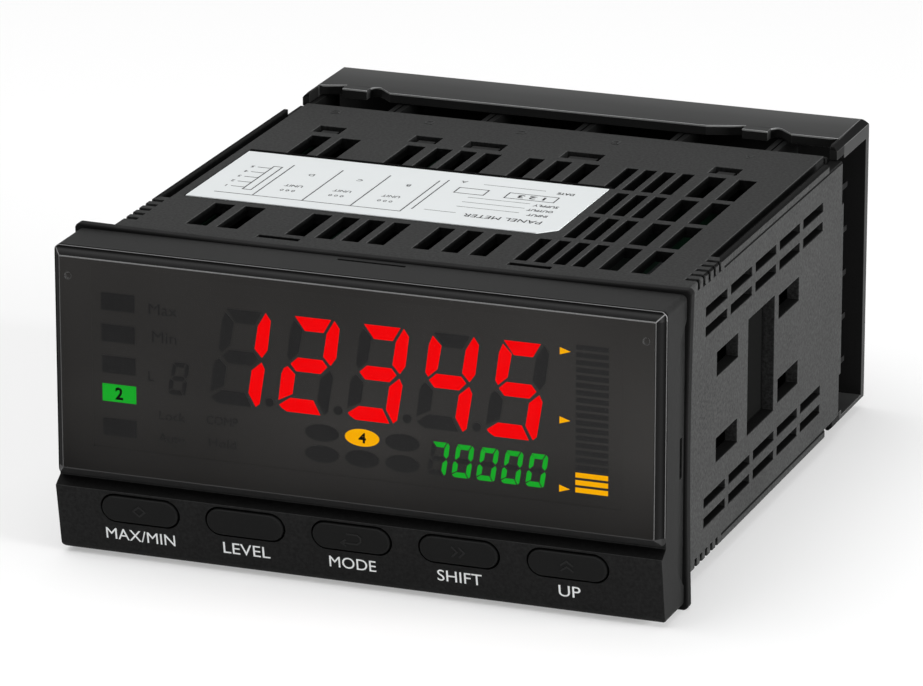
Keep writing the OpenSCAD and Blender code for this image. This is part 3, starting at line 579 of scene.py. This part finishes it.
def painted_glow_ground(name, shade, low):
    """A painted glow for the ground, painted darker toward its lower edge."""
    finish = Finish(name)
    place = finish.place()
    cloud = finish.noise(place, 0.03, 1.0)
    # The glow is painted darker toward the lower edge, a painted shade.
    rise = ((finish.axis(place, 2) - low) * (1 / PAINTED_SHADE_FADE)).least(1.0)
    light = (0.2 + cloud * 0.6) * (0.68 + rise * 0.32)
    return emitter(finish, finish.mix(light, grey(0.0), grey(shade * 2, WARM)))


def lit_segment(name, colour):
    finish = Finish(name)
    cloud = finish.noise(finish.place(), 0.25)
    return emitter(finish, finish.mix(cloud, dimmed(colour, 0.92), colour), GLOW)


def unlit_segment(name, shade, low, high):
    """A painted glow for the unlit segments, brighter toward the right, where the graph's bars nearly fade
    into the ground.
    """
    finish = Finish(name)
    place = finish.place()
    cloud = finish.noise(place, 0.1)
    # The glow grows brighter toward the right.
    across = (finish.axis(place, 0) - low) * (1 / (high - low))
    return emitter(finish, finish.mix(across * 0.55 + cloud * 0.3, grey(shade), grey(shade * 2)))


def dress(node, material):
    data = NODES[node].data
    data.materials.clear()
    data.materials.append(material)


glass_low, glass_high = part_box("display_glass")
unlit = unlit_segment("unlit segment painted glow", 0.0138, glass_low.x, glass_high.x)
ground_painted_glow = painted_glow_ground("display ground painted glow", 0.031, glass_low.z + LEDGE * MM)
DISPLAY = {
    "display_glass": ground_painted_glow, "unlit_segments": unlit, "main_figures": lit_segment("red segment", RED),
    "small_figures": lit_segment("green segment", GREEN), "green_mark": lit_segment("green tag", GREEN),
    "amber_marks": lit_segment("amber segment", AMBER)}
for node, material in DISPLAY.items():
    dress(node, material)
print("display finishes:", len(DISPLAY))

# %% [markdown]
# ## Lettering
# Key names are printed in white on the strip, and the display has small words of its own. A text curve
# gives the outline of a letter. It is turned into a flat mesh first, put in place, and only then thickened,
# because the finished piece has to sit at the origin. A map from the letters' plane to the surface is three
# vectors: along the line, up the letter and out of the surface.

# %% Define words on a surface
INK_DEPTH = 0.02
SAME_CORNER = 1e-5
EAST = Vector((1, 0, 0))
WEST = Vector((-1, 0, 0))
SOUTH = Vector((0, -1, 0))
UPWARD = Vector((0, 0, 1))


def thicken(shape, step):
    """Turns flat faces into a closed solid that reaches one step further."""
    faces = list(shape.faces)
    for face in faces:
        face.normal_update()
        if face.normal.dot(step) < 0:
            face.normal_flip()
    raised = bmesh.ops.extrude_face_region(shape, geom=faces, use_keep_orig=True)
    moved = [g for g in raised["geom"] if isinstance(g, bmesh.types.BMVert)]
    bmesh.ops.translate(shape, verts=moved, vec=step)
    bmesh.ops.recalc_face_normals(shape, faces=shape.faces)


def flat_letters(text, bold):
    curve = bpy.data.curves.new("letters", "FONT")
    curve.body = text
    curve.size = 1.0
    curve.resolution_u = 4
    curve.offset = bold
    holder = in_scene("letters", curve)
    flat = as_mesh(holder)
    bpy.data.objects.remove(holder)
    bpy.data.curves.remove(curve)
    shape = bmesh.new()
    shape.from_mesh(flat)
    bpy.data.meshes.remove(flat)
    bmesh.ops.remove_doubles(shape, verts=shape.verts, dist=SAME_CORNER)
    return shape


def letters(text, height, middle, along, rise, width=None, depth=INK_DEPTH, bold=0.0):
    """Raised letters in millimetres, centred on a point of the surface."""
    shape = flat_letters(text, bold)
    low = Vector((min(v.co.x for v in shape.verts), min(v.co.y for v in shape.verts)))
    high = Vector((max(v.co.x for v in shape.verts), max(v.co.y for v in shape.verts)))
    tall = height / (high.y - low.y)
    wide = tall if width is None else width / (high.x - low.x)
    centre = (low + high) / 2
    for v in shape.verts:
        aside = along * ((v.co.x - centre.x) * wide)
        v.co = (Vector(middle) + aside + rise * ((v.co.y - centre.y) * tall)) * MM
    thicken(shape, along.cross(rise) * depth * MM)
    return shape


print("letters are", INK_DEPTH, "mm thick")

# %% Define strokes and slabs on a surface
def stroke(points, line, middle, along, rise, depth, closed=False):
    """A raised ribbon of even width along (u, v) points in millimetres."""
    shape = bmesh.new()
    path = [Vector(p) for p in points]
    sides = []
    for k, here in enumerate(path):
        ahead = path[(k + 1) % len(path)] - here if closed or k + 1 < len(path) else here - path[k - 1]
        behind = here - path[k - 1] if closed or k else ahead
        mitre = (ahead.normalized() + behind.normalized()).normalized()
        reach = line / 2 / mitre.dot(ahead.normalized())
        out = Vector((-mitre.y, mitre.x)) * reach
        sides.append([
            shape.verts.new((Vector(middle) + along * p.x + rise * p.y) * MM)
            for p in (here + out, here - out)])
    pairs = list(zip(sides, sides[1:]))
    if closed:
        pairs.append((sides[-1], sides[0]))
    for (a, b), (c, d) in pairs:
        shape.faces.new((a, b, d, c))
    thicken(shape, along.cross(rise) * depth * MM)
    return shape


def slab(corners, step):
    """A flat outline in millimetres, thickened by a step in millimetres."""
    shape = bmesh.new()
    shape.faces.new([shape.verts.new(Vector(c) * MM) for c in corners])
    thicken(shape, Vector(step) * MM)
    return shape


def joined(name, shapes, material, body):
    """One finished piece from many shapes."""
    mesh = bpy.data.meshes.new(name)
    whole = bmesh.new()
    for shape in shapes:
        part = bpy.data.meshes.new("part")
        shape.to_mesh(part)
        shape.free()
        whole.from_mesh(part)
        bpy.data.meshes.remove(part)
    whole.to_mesh(mesh)
    whole.free()
    return finished_piece(name, mesh, material, body)


def ink(name, shade, tint=(1, 1, 1), roughness=0.5, specular=0.5):
    finish = Finish(name)
    cloud = finish.noise(finish.place(), 0.8, 3.0)
    return finish.surface(
        Base_Color=finish.mix(cloud, grey(shade * 0.9, tint), grey(shade, tint)), Roughness=roughness,
        Specular_IOR_Level=specular)


print("strokes, slabs and inks ready")

# %% [markdown]
# The key strip leans back, so its names stand on a slope. A point of the slope follows from its height
# alone, and the letters rise along it.

# %% Print the key names
LEAN = math.radians(10)
STRIP_TOP = (-12.0, -13.4)
STRIP_RISE = Vector((0, -math.sin(LEAN), math.cos(LEAN)))
NAME_LINE = -20.45
NAME_HEIGHT = 1.85
NAMES = (
    ("MAX/MIN", -34.77, 11.2), ("LEVEL", -17.62, 7.5), ("MODE", -0.68, 7.4), ("SHIFT", 16.22, 7.0),
    ("UP", 33.39, 3.4))


def on_strip(x, z, proud=0.0):
    return Vector((x, STRIP_TOP[0] + (STRIP_TOP[1] - z) * math.tan(LEAN) - proud, z))


white_ink = ink("white ink", 0.85, (0.98, 1.0, 1.0))
names = [
    letters(text, NAME_HEIGHT, on_strip(x, NAME_LINE), EAST, STRIP_RISE, width) for text, x, width in NAMES]
legend = joined("key_names", names, white_ink, HOUSING)
print(legend.name, len(legend.data.polygons), "faces")

# %% [markdown]
# Four keys carry a raised sign that a finger can feel: a diamond, a loop with an arrow, and two pairs of
# chevrons. Each sign is a ribbon along a few points and rides on its own key, so it moves when the key does.

# %% Raise the signs on the keys
KEY_PROUD = 0.35
SIGN_LINE = 0.26
SIGN_HEIGHT = 0.08
SIGNS = {
    1: [([(-0.95, 0), (0, 0.8), (0.95, 0), (0, -0.8)], True)],
    3: [([(-0.6, 0.75), (1.1, 0.75), (1.6, 0.3), (1.6, -0.35), (1.1, -0.8), (-1.4, -0.8)], False),
        ([(-0.75, -0.25), (-1.5, -0.8), (-0.75, -1.35)], False)],
    4: [([(-1.0, 0.85), (-0.15, 0), (-1.0, -0.85)], False), ([(0.15, 0.85), (1.0, 0), (0.15, -0.85)], False)],
    5: [([(-1.0, -0.85), (0, -0.1), (1.0, -0.85)], False), ([(-1.0, 0.05), (0, 0.8), (1.0, 0.05)], False)],
}
# The signs get a paler finish than the keys.
sign_plastic = grained_plastic(
    "paler key plastic", shade=0.017, roughness=0.4, grain=4.6, depth=0.01, gloss=0.12, contrast=0.5)
for i, paths in SIGNS.items():
    key = "key_cap_%d" % i
    middle = sum(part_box(key), Vector()) / 2 / MM
    face = on_strip(middle.x, middle.z, KEY_PROUD)
    ribbons = [
        stroke(path, SIGN_LINE, face, EAST, STRIP_RISE, SIGN_HEIGHT, closed) for path, closed in paths]
    sign = joined("key_sign_%d" % i, ribbons, sign_plastic, NODES[key]["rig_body"])
    print(sign.name, len(sign.data.polygons), "faces")

# %% [markdown]
# The display's own words stay dark: they are unlit segments in the shape of words, a hair in front of the
# glass. The lit tag and the lit oval carry a dark figure each.

# %% Print the display's words
SEGMENT_FRONT = -10.12
WORD_BACK = SEGMENT_FRONT + 0.11
WORD_DEPTH = 0.1
WORDS = (
    ("Max", 1.75, -30.9, 15.35, 4.6), ("Min", 1.75, -30.75, 11.1, 3.9), ("L", 1.6, -32.9, 4.9, 1.0),
    ("Lock", 1.35, -29.6, -1.1, 4.2), ("Auto", 1.35, -29.8, -4.6, 4.2),
    ("COMP", 1.35, -21.6, -0.9, 5.0), ("Hold", 1.35, -21.6, -4.4, 4.4))
FIGURES = (("2", 1.95, -38.15, 1.5, 1.25), ("4", 1.6, 0.7, -0.83, 1.2))
words = [
    letters(text, high, (x, WORD_BACK, z), EAST, UPWARD, wide, WORD_DEPTH)
    for text, high, x, z, wide in WORDS]
# The words carry the unlit segments' painted glow.
joined("display_words", words, unlit, HOUSING)
figures = [
    letters(text, high, (x, SEGMENT_FRONT, z), EAST, UPWARD, wide, bold=0.03)
    for text, high, x, z, wide in FIGURES]
joined("tag_figures", figures, ink("dark ink", 0.004, specular=0.05), HOUSING)
print("display words:", len(WORDS), "tag figures:", len(FIGURES))

# %% [markdown]
# A frame of film on the back of the window carries the ground's painted glow. It hides the edges of the
# glass and the gap around it, so the pane looks even up to its black rim.

# %% Frame the display
FILM_BACK = -10.21
FILM_DEPTH = 0.03
RIM = 0.35
LAP = 0.4


def flat_ring(outer, inner, y, depth):
    """An upright frame between two rectangles (x0, z0, x1, z1) in millimetres."""
    shape = bmesh.new()
    rings = []
    for x0, z0, x1, z1 in (outer, inner):
        corners = ((x0, y, z0), (x1, y, z0), (x1, y, z1), (x0, y, z1))
        rings.append([shape.verts.new(Vector(corner) * MM) for corner in corners])
    for k in range(4):
        shape.faces.new((rings[0][k], rings[0][k - 3], rings[1][k - 3], rings[1][k]))
    thicken(shape, SOUTH * depth * MM)
    return shape


outer = (pane_low.x / MM + RIM, pane_low.z / MM + RIM, pane_high.x / MM - RIM, pane_high.z / MM - RIM)
low, high = glass_low / MM, glass_high / MM
inner = (low.x + LAP, low.z + LEDGE, high.x - LAP, high.z - LAP)
ring = flat_ring(outer, inner, FILM_BACK, FILM_DEPTH)
film_frame = joined("window_mask", [ring], ground_painted_glow, HOUSING)
print(film_frame.name, len(film_frame.data.polygons), "faces")

# %% [markdown]
# ## Moulded letters
# A letter stands behind the vents of the case for each column of terminals, and reads from the rear, where
# the wiring is done. They are raised less than a tenth of a millimetre, so only their edges catch light.

# %% Raise the column letters
COLUMN_LETTERS = (
    ("E", -37.0, 75.4), ("D", -21.0, 74.9), ("C", -5.2, 74.7), ("B", 10.5, 74.3), ("A", 32.6, 74.1))
LETTER_SIZE = (1.7, 1.5)
LETTER_DEPTH = 0.07
marks = [
    letters(text, LETTER_SIZE[0], (x, y, CASE.z), WEST, SOUTH, LETTER_SIZE[1], LETTER_DEPTH)
    for text, x, y in COLUMN_LETTERS]
raised = joined("column_letters", marks, case_plastic, HOUSING)
print(raised.name, len(raised.data.polygons), "faces")

# %% [markdown]
# ## Label
# The label is a satin polyester film with thin printed rules. Its fields are plain: a few letters and
# figures that any such label has, and write-on lines where a maker would put a name. An image could carry
# the print, but thin solids stay sharp at any distance.

# %% Finish the label and define its marks
LABEL_LOW, LABEL_HIGH = (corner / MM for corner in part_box("case_label"))
LABEL_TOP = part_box("case_label")[1].z / MM
RULE_LINE = 0.17
FINE_LINE = 0.1


def label_film(name):
    finish = Finish(name)
    place = finish.place()
    cloud = finish.noise(place, 0.06, 3.0)
    fibre = finish.noise(place, 2.5, 3.0)
    return finish.surface(
        Base_Color=finish.mix(cloud, (0.66, 0.685, 0.69, 1), (0.70, 0.725, 0.73, 1)),
        Roughness=0.5 + fibre * 0.12, Specular_IOR_Level=0.1, Normal=finish.bump(fibre, 0.004, 0.3))


def on_label(x0, y0, x1, y1):
    corners = ((x0, y0), (x1, y0), (x1, y1), (x0, y1))
    return slab([(x, y, LABEL_TOP) for x, y in corners], (0, 0, INK_DEPTH))


def rule(x0, y0, x1, y1, line=RULE_LINE):
    grow = line / 2
    return on_label(x0 - grow, y0 - grow, x1 + grow, y1 + grow)


def note(text, x, y, height=0.9, width=None, bold=0.0):
    return letters(text, height, (x, y, LABEL_TOP), WEST, SOUTH, width, bold=bold)


def field(x0, y0, x1, y1):
    return [rule(x0, y0, x1, y0), rule(x0, y1, x1, y1), rule(x0, y0, x0, y1), rule(x1, y0, x1, y1)]


dress("case_label", label_film("label film"))
print("label in mm:", [round(v, 1) for v in LABEL_HIGH - LABEL_LOW])

# %% Print the label
FIELDS = (-31.9, -23.75, -15.85, -7.75)
UNITS = (("D", -27.8), ("C", -19.8), ("B", -11.8))
LINES = (("INPUT", 3.2, 32.4), ("OUTPUT", 4.1, 34.9), ("SUPPLY", 4.0, 37.4), ("DATE", 2.7, 44.6))
LINE_END = 14.2
TERMINALS = 5
TERMINAL_PITCH = 2.7

print_marks = [rule(x, 27.4, x, 44.6) for x in FIELDS]
print_marks += [rule(-6.5, 29.2, -6.5, 45.4), rule(-38.1, 27.4, -7.75, 27.4)]
for letter, x in UNITS:
    print_marks += [
        note(letter, x + 0.4, 40.6, 1.0), note("UNIT", x, 34.2, 1.0, 2.9), note("0 0 0", x, 31.6, 0.9, 2.4)]
for i in range(TERMINALS):
    y = 31.0 + i * TERMINAL_PITCH
    print_marks += [rule(-36.8, y, -34.6, y), note(str(i + 1), -37.7, y, 0.9)]
print_marks += field(-34.6, 30, -33.2, 43)
print_marks += [note("PANEL METER", 8.2, 29.0, 1.5, 12.5), rule(-4.6, 29.6, 0.4, 29.6, FINE_LINE)]
for text, width, y in LINES:
    print_marks += [
        note(text, LINE_END - width / 2, y, 1.05, width, 0.012), rule(-0.6, y + 0.5, 9.4, y + 0.5, FINE_LINE)]
print_marks += field(-3.6, 39.6, 1.2, 42.4) + field(4.6, 39.6, 12.6, 42.4)
print_marks += [note("A", -4.0, 45.4, 1.0), note("1 2 3", 8.6, 41.0, 1.5, 4.4, 0.02)]
joined("label_print", print_marks, ink("label ink", 0.008, specular=0.05), HOUSING)
print("printed marks:", len(print_marks))

# %% [markdown]
# A thin dark film without any gloss lies behind the label and along its left end, in the shape of an L:
# a painted shadow along the label's edge.

# %% Lay the dust beside the label
SHADOW_REACH = 1.5
SHADOW_SIDE = 0.3
shadow_x, shadow_y = LABEL_LOW.x - SHADOW_SIDE, LABEL_HIGH.y + SHADOW_REACH
shadow_path = (
    (shadow_x, LABEL_LOW.y), (LABEL_LOW.x, LABEL_LOW.y), (LABEL_LOW.x, LABEL_HIGH.y),
    (LABEL_HIGH.x, LABEL_HIGH.y), (LABEL_HIGH.x, shadow_y), (shadow_x, shadow_y))
# The painted shadow is a dark film on the case's top.
shadow_film = slab([(x, y, CASE.z) for x, y in shadow_path], (0, 0, INK_DEPTH))
shadow_tone = ink("painted shadow line", 0.006, roughness=0.9, specular=0.0)
label_shadow = joined("label_dust", [shadow_film], shadow_tone, HOUSING)
print(label_shadow.name, len(label_shadow.data.polygons), "faces")

# %% [markdown]
# ## Terminals
# Thirty-six screws hold the wires. They are one shape in many places, which is work for Geometry Nodes: the
# points are a mesh of bare vertices, each point gets one screw, and a seeded turn keeps the cross slots from
# lining up. The export drops instances, so the tree ends by realizing them and setting the material.

# %% Build the tree that repeats a piece
INPUTS = (("Points", "Geometry"), ("Piece", "Object"), ("Material", "Material"), ("Seed", "Int"))


def point_tree():
    """One piece on each vertex, turned by chance about the axis that points to the rear."""
    tree = bpy.data.node_groups.new("pieces_on_points", "GeometryNodeTree")
    tree.interface.new_socket("Geometry", in_out="OUTPUT", socket_type="NodeSocketGeometry")
    for label, kind in INPUTS:
        tree.interface.new_socket(label, in_out="INPUT", socket_type="NodeSocket" + kind)
    start, piece, chance, angle, spin, place, real, paint, end = (tree.nodes.new(kind) for kind in (
        "NodeGroupInput", "GeometryNodeObjectInfo", "FunctionNodeRandomValue", "ShaderNodeCombineXYZ",
        "FunctionNodeEulerToRotation", "GeometryNodeInstanceOnPoints", "GeometryNodeRealizeInstances",
        "GeometryNodeSetMaterial", "NodeGroupOutput"))
    chance.data_type = "FLOAT"
    chance.inputs[3].default_value = 2 * math.pi
    for source, target in (
            (start.outputs["Piece"], piece.inputs["Object"]),
            (start.outputs["Seed"], chance.inputs["Seed"]),
            (chance.outputs[1], angle.inputs["Y"]),
            (angle.outputs[0], spin.inputs[0]),
            (start.outputs["Points"], place.inputs["Points"]),
            (piece.outputs["Geometry"], place.inputs["Instance"]),
            (spin.outputs[0], place.inputs["Rotation"]),
            (place.outputs["Instances"], real.inputs["Geometry"]),
            (real.outputs["Geometry"], paint.inputs["Geometry"]),
            (start.outputs["Material"], paint.inputs["Material"]),
            (paint.outputs["Geometry"], end.inputs["Geometry"])):
        tree.links.new(source, target)
    return tree


def grown(tree, base, values):
    """Runs a tree on a mesh and returns the result as a plain mesh."""
    holder = in_scene("holder", base)
    modifier = holder.modifiers.new("repeat", "NODES")
    modifier.node_group = tree
    identifiers = {item.name: item.identifier for item in tree.interface.items_tree if item.in_out == "INPUT"}
    for key, value in values.items():
        modifier[identifiers[key]] = value
    holder.update_tag()
    mesh = as_mesh(holder)
    holder.modifiers.remove(modifier)
    bpy.data.objects.remove(holder)
    return mesh


ON_POINTS = point_tree()
print(ON_POINTS.name, len(ON_POINTS.nodes), "nodes")

# %% [markdown]
# A screw is turned like a real one, from its outline about an axis, and its cross slot is cut with a
# Boolean modifier. Its thread is a zigzag in the outline, since a true helix would never be seen here.

# %% Turn one terminal screw
HEAD = 2.0
HEAD_RADIUS = 2.7
SCREW_SIDES = 28
THREAD_RADIUS = 1.5
THREAD_DEPTH = 0.22
THREAD_STEP = 0.35
THREAD_POINTS = 9
SLOT_FLOOR = 1.15
SLOT_TOP = 3


def plain_object(name, shape):
    mesh = bpy.data.meshes.new(name)
    shape.to_mesh(mesh)
    shape.free()
    return in_scene(name, mesh)


def box_shape(shape, low, high):
    """Adds a box between two corners in millimetres."""
    corners = [
        shape.verts.new((x * MM, y * MM, z * MM))
        for x in (low[0], high[0]) for y in (low[1], high[1]) for z in (low[2], high[2])]
    for face in ((0, 1, 3, 2), (4, 6, 7, 5), (0, 4, 5, 1), (2, 3, 7, 6), (0, 2, 6, 4), (1, 5, 7, 3)):
        shape.faces.new([corners[k] for k in face])


def lathe(profile, sides):
    """Turns (radius, y) points in millimetres about the Y axis into a closed solid."""
    shape = bmesh.new()
    rings = []
    for radius, y in profile:
        if radius == 0:
            rings.append([shape.verts.new((0, y * MM, 0))] * sides)
        else:
            rings.append([
                shape.verts.new((radius * MM * math.cos(2 * math.pi * k / sides), y * MM,
                                 radius * MM * math.sin(2 * math.pi * k / sides))) for k in range(sides)])
    for one, two in zip(rings, rings[1:]):
        for k in range(sides):
            corners = [one[k], one[(k + 1) % sides], two[(k + 1) % sides], two[k]]
            shape.faces.new(list(dict.fromkeys(corners)))
    bmesh.ops.recalc_face_normals(shape, faces=shape.faces)
    return shape


thread = [(THREAD_RADIUS - THREAD_DEPTH * (k % 2), -THREAD_STEP * k) for k in range(THREAD_POINTS)]
outline = [
    (0, HEAD), (1.9, HEAD - 0.02), (2.45, HEAD - 0.18), (HEAD_RADIUS, HEAD - 0.55), (HEAD_RADIUS, 0.12),
    (2.58, 0)]
outline += thread + [(1.1, -3.3), (0, -3.35)]
screw = plain_object("screw", lathe(outline, SCREW_SIDES))
cutter_shape = bmesh.new()
box_shape(cutter_shape, (-2.05, SLOT_FLOOR, -0.4), (2.05, SLOT_TOP, 0.4))
box_shape(cutter_shape, (-0.35, SLOT_FLOOR, -1.5), (0.35, SLOT_TOP, 1.5))
bmesh.ops.recalc_face_normals(cutter_shape, faces=cutter_shape.faces)
cutter = plain_object("cutter", cutter_shape)
cut = screw.modifiers.new("slot", "BOOLEAN")
cut.operation = "DIFFERENCE"
cut.object = cutter
cut.solver = "EXACT"
cut.use_self = True
slotted = as_mesh(screw)
screw.modifiers.clear()
screw.data = slotted
bpy.data.objects.remove(cutter)
print(screw.name, len(slotted.polygons), "faces")

# %% Place the screws and clamps
SCREW_BASE = 80.8
ROW_COUNT = 6
ROW_PITCH = 7.25
SCREW_SEED = 7


def brushed_metal(name, colour, roughness):
    finish = Finish(name)
    place = finish.place()
    streak = finish.noise(place, 1.6, 4.0, 0.7)
    tarnish = finish.noise(place, 0.15, 3.0)
    return finish.surface(
        Base_Color=finish.mix(tarnish, dimmed(colour, 0.72), colour), Metallic=1.0,
        Roughness=roughness + streak * 0.16, Normal=finish.bump(streak, 0.006, 0.3))


columns = [sum(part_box("terminal_block_%d" % i), Vector()).x / 2 for i in COLUMNS]
rows = [(j - (ROW_COUNT - 1) / 2) * ROW_PITCH * MM for j in range(ROW_COUNT)]
points = bpy.data.meshes.new("screw_points")
points.from_pydata([(x, SCREW_BASE * MM, z) for x in columns for z in rows], [], [])
zinc = brushed_metal("zinc plate", (0.56, 0.56, 0.53, 1), 0.3)
screws = grown(ON_POINTS, points, {"Piece": screw, "Material": zinc, "Seed": SCREW_SEED})
bpy.data.objects.remove(screw)
finished_piece(
    "terminal_screw_set", screws, zinc, HOUSING, ("terminal_screws",))
softened("terminal_clamps", brushed_metal("nickel plate", (0.58, 0.55, 0.48, 1), 0.28), 0.12)
print("screws:", len(columns) * len(rows), "triangles:", sum(len(p.vertices) - 2 for p in screws.polygons))

# %% [markdown]
# ## Inside
# Little of the inside shows through the vents, but the cards and their largest components are there as
# solids. Bare boards get a solder mask with tracks from a stretched brick pattern, which costs no geometry.

# %% Define the inner finishes
def circuit_board(name):
    finish = Finish(name)
    place = finish.place()
    turned = finish.node("ShaderNodeMapping", values={0: place, "Rotation": (0, math.pi / 2, 0)})
    tracks = finish.node("ShaderNodeTexBrick", {"offset": 0.37}, {
        "Vector": turned, "Scale": 0.35 / MM, "Mortar Size": 0.03, "Brick Width": 1.9, "Row Height": 0.32}, 1)
    cloud = finish.noise(place, 0.05)
    solder_mask = finish.mix(cloud, (0.0015, 0.005, 0.003, 1), (0.002, 0.007, 0.004, 1))
    return finish.surface(
        Base_Color=finish.mix(tracks * 0.6, solder_mask, (0.004, 0.012, 0.006, 1)),
        Roughness=0.4 + tracks * 0.1, Specular_IOR_Level=0.05)


def plain_moulding(name, colour, roughness=0.5, specular=0.1):
    finish = Finish(name)
    place = finish.place()
    speck = finish.noise(place, 2.5, 3.0)
    return finish.surface(
        Base_Color=finish.mix(speck, dimmed(colour, 0.75), colour), Roughness=roughness + speck * 0.12,
        Specular_IOR_Level=specular, Normal=finish.bump(speck, 0.008, 0.3))


def wound_wire(name):
    finish = Finish(name)
    place = finish.place()
    turns = finish.node(
        "ShaderNodeTexWave", {"bands_direction": "X"},
        {"Vector": place, "Scale": 0.6 / MM, "Distortion": 0.6})
    return finish.surface(
        Base_Color=finish.mix(turns, (0.2, 0.06, 0.012, 1), (0.62, 0.27, 0.06, 1)), Roughness=0.35,
        Normal=finish.bump(turns, 0.1, 0.8))


print("inner finishes: 3")

# %% Finish the inner pieces
INNER = (
    (circuit_board("solder mask"),
     ("display_board", "power_card", "output_card", "logic_card", "input_card")),
    (plain_moulding("socket moulding", (0.3, 0.28, 0.23, 1)), ["card_socket_%d" % i for i in range(1, 5)]),
    (plain_moulding("switch moulding", (0.02, 0.02, 0.022, 1)), ["switch_body_%d" % i for i in KEYS]),
    (plain_moulding("plunger moulding", (0.42, 0.38, 0.32, 1)), ["switch_plunger_%d" % i for i in KEYS]),
    (plain_moulding("insulating film", (0.0065, 0.0067, 0.0065, 1), 0.7, 0.0),
     ("side_liner_left", "side_liner_right")),
    (plain_moulding("clear guide", (0.8, 0.84, 0.86, 1), 0.1), ("light_guide",)),
    (plain_moulding("white tray", (0.82, 0.82, 0.78, 1)), ("reflector_tray",)),
    (rubber("contact rubber", 0.2), ("glass_contact_strip",)),
    (brushed_metal("core steel", (0.1, 0.1, 0.11, 1), 0.5), ("transformer_core",)),
    (wound_wire("winding"), ("transformer_coil",)),
    (plain_moulding("capacitor sleeve", (0.008, 0.01, 0.03, 1), 0.3), ("smoothing_capacitor",)),
    (plain_moulding("relay moulding", (0.008, 0.008, 0.01, 1)), ("relay_1", "relay_2")),
    (plain_moulding("chip moulding", (0.012, 0.012, 0.014, 1), 0.45), ("processor",)),
    (brushed_metal("tin plate", (0.12, 0.122, 0.127, 1), 0.5), ("input_shield",)),
)
for material, nodes in INNER:
    for node in nodes:
        dress(node, material)
    print(material.name, len(nodes))

# %% [markdown]
# ## Stage and light
# The meter stands on a plain pale floor in soft light. A wide overhead lamp to the left lets the shadow
# fall to the right, and a low wide lamp on the right lights the vented side. That lamp is low so that it
# adds little to the floor and takes little from it on the far side, and gloss does not show it, since it
# would glare on every top seen from the left. To the camera, to gloss and to glass the world is white and
# the floor glows a little. As a lamp the world is dimmer, and the floor only scatters light.

# %% Build the floor and the world
WHITE = (1, 1, 1, 1)
FLOOR = 6.0
SHINE = 0.35
AMBIENT = 0.2
ground = cad_box[0].z
floor_mesh = bpy.data.meshes.new("floor")
floor_mesh.from_pydata(
    [(-FLOOR, -FLOOR, ground), (FLOOR, -FLOOR, ground), (FLOOR, FLOOR, ground), (-FLOOR, FLOOR, ground)],
    [], [(0, 1, 2, 3)])
floor = in_scene("floor", floor_mesh)
paper = Finish("pale floor")
glow = paper.node("ShaderNodeEmission", values={"Color": WHITE, "Strength": 1.0})
matte = paper.node("ShaderNodeBsdfDiffuse", values={"Color": grey(0.98)})
blend = paper.node("ShaderNodeMixShader", values={0: paper.seen() * SHINE, 1: matte, 2: glow})
paper.fill(paper.tree.nodes["Material Output"], {"Surface": blend})
floor_mesh.materials.append(paper.material)

world = bpy.data.worlds.new("studio")
bpy.context.scene.world = world
world.use_nodes = True
sky = Graph(world.node_tree)
sky.fill(sky.tree.nodes["Background"], {"Color": WHITE, "Strength": sky.seen() * (1 - AMBIENT) + AMBIENT})
bpy.context.scene.view_settings.view_transform = "Standard"
print("floor at", round(ground / MM, 2), "mm")

# %% Hang the lamps
AIM = (0, 0.04, 0)


def soft_lamp(name, place, size, watts):
    data = bpy.data.lights.new(name, "AREA")
    data.shape = "RECTANGLE"
    data.size, data.size_y = size
    data.energy = watts
    lamp = in_scene(name, data)
    lamp.location = place
    lamp.rotation_euler = (Vector(AIM) - Vector(place)).to_track_quat("-Z", "Y").to_euler()
    return lamp


overhead = soft_lamp("overhead", place=(-0.25, -0.12, 0.95), size=(1.3, 1.1), watts=10.2)
side_lamp = soft_lamp("right side", place=(1.2, -0.05, 0.2), size=(0.8, 0.25), watts=24.0)
side_lamp.visible_glossy = False
for lamp in (overhead, side_lamp):
    print(lamp.name, round(lamp.data.energy, 1), "W")
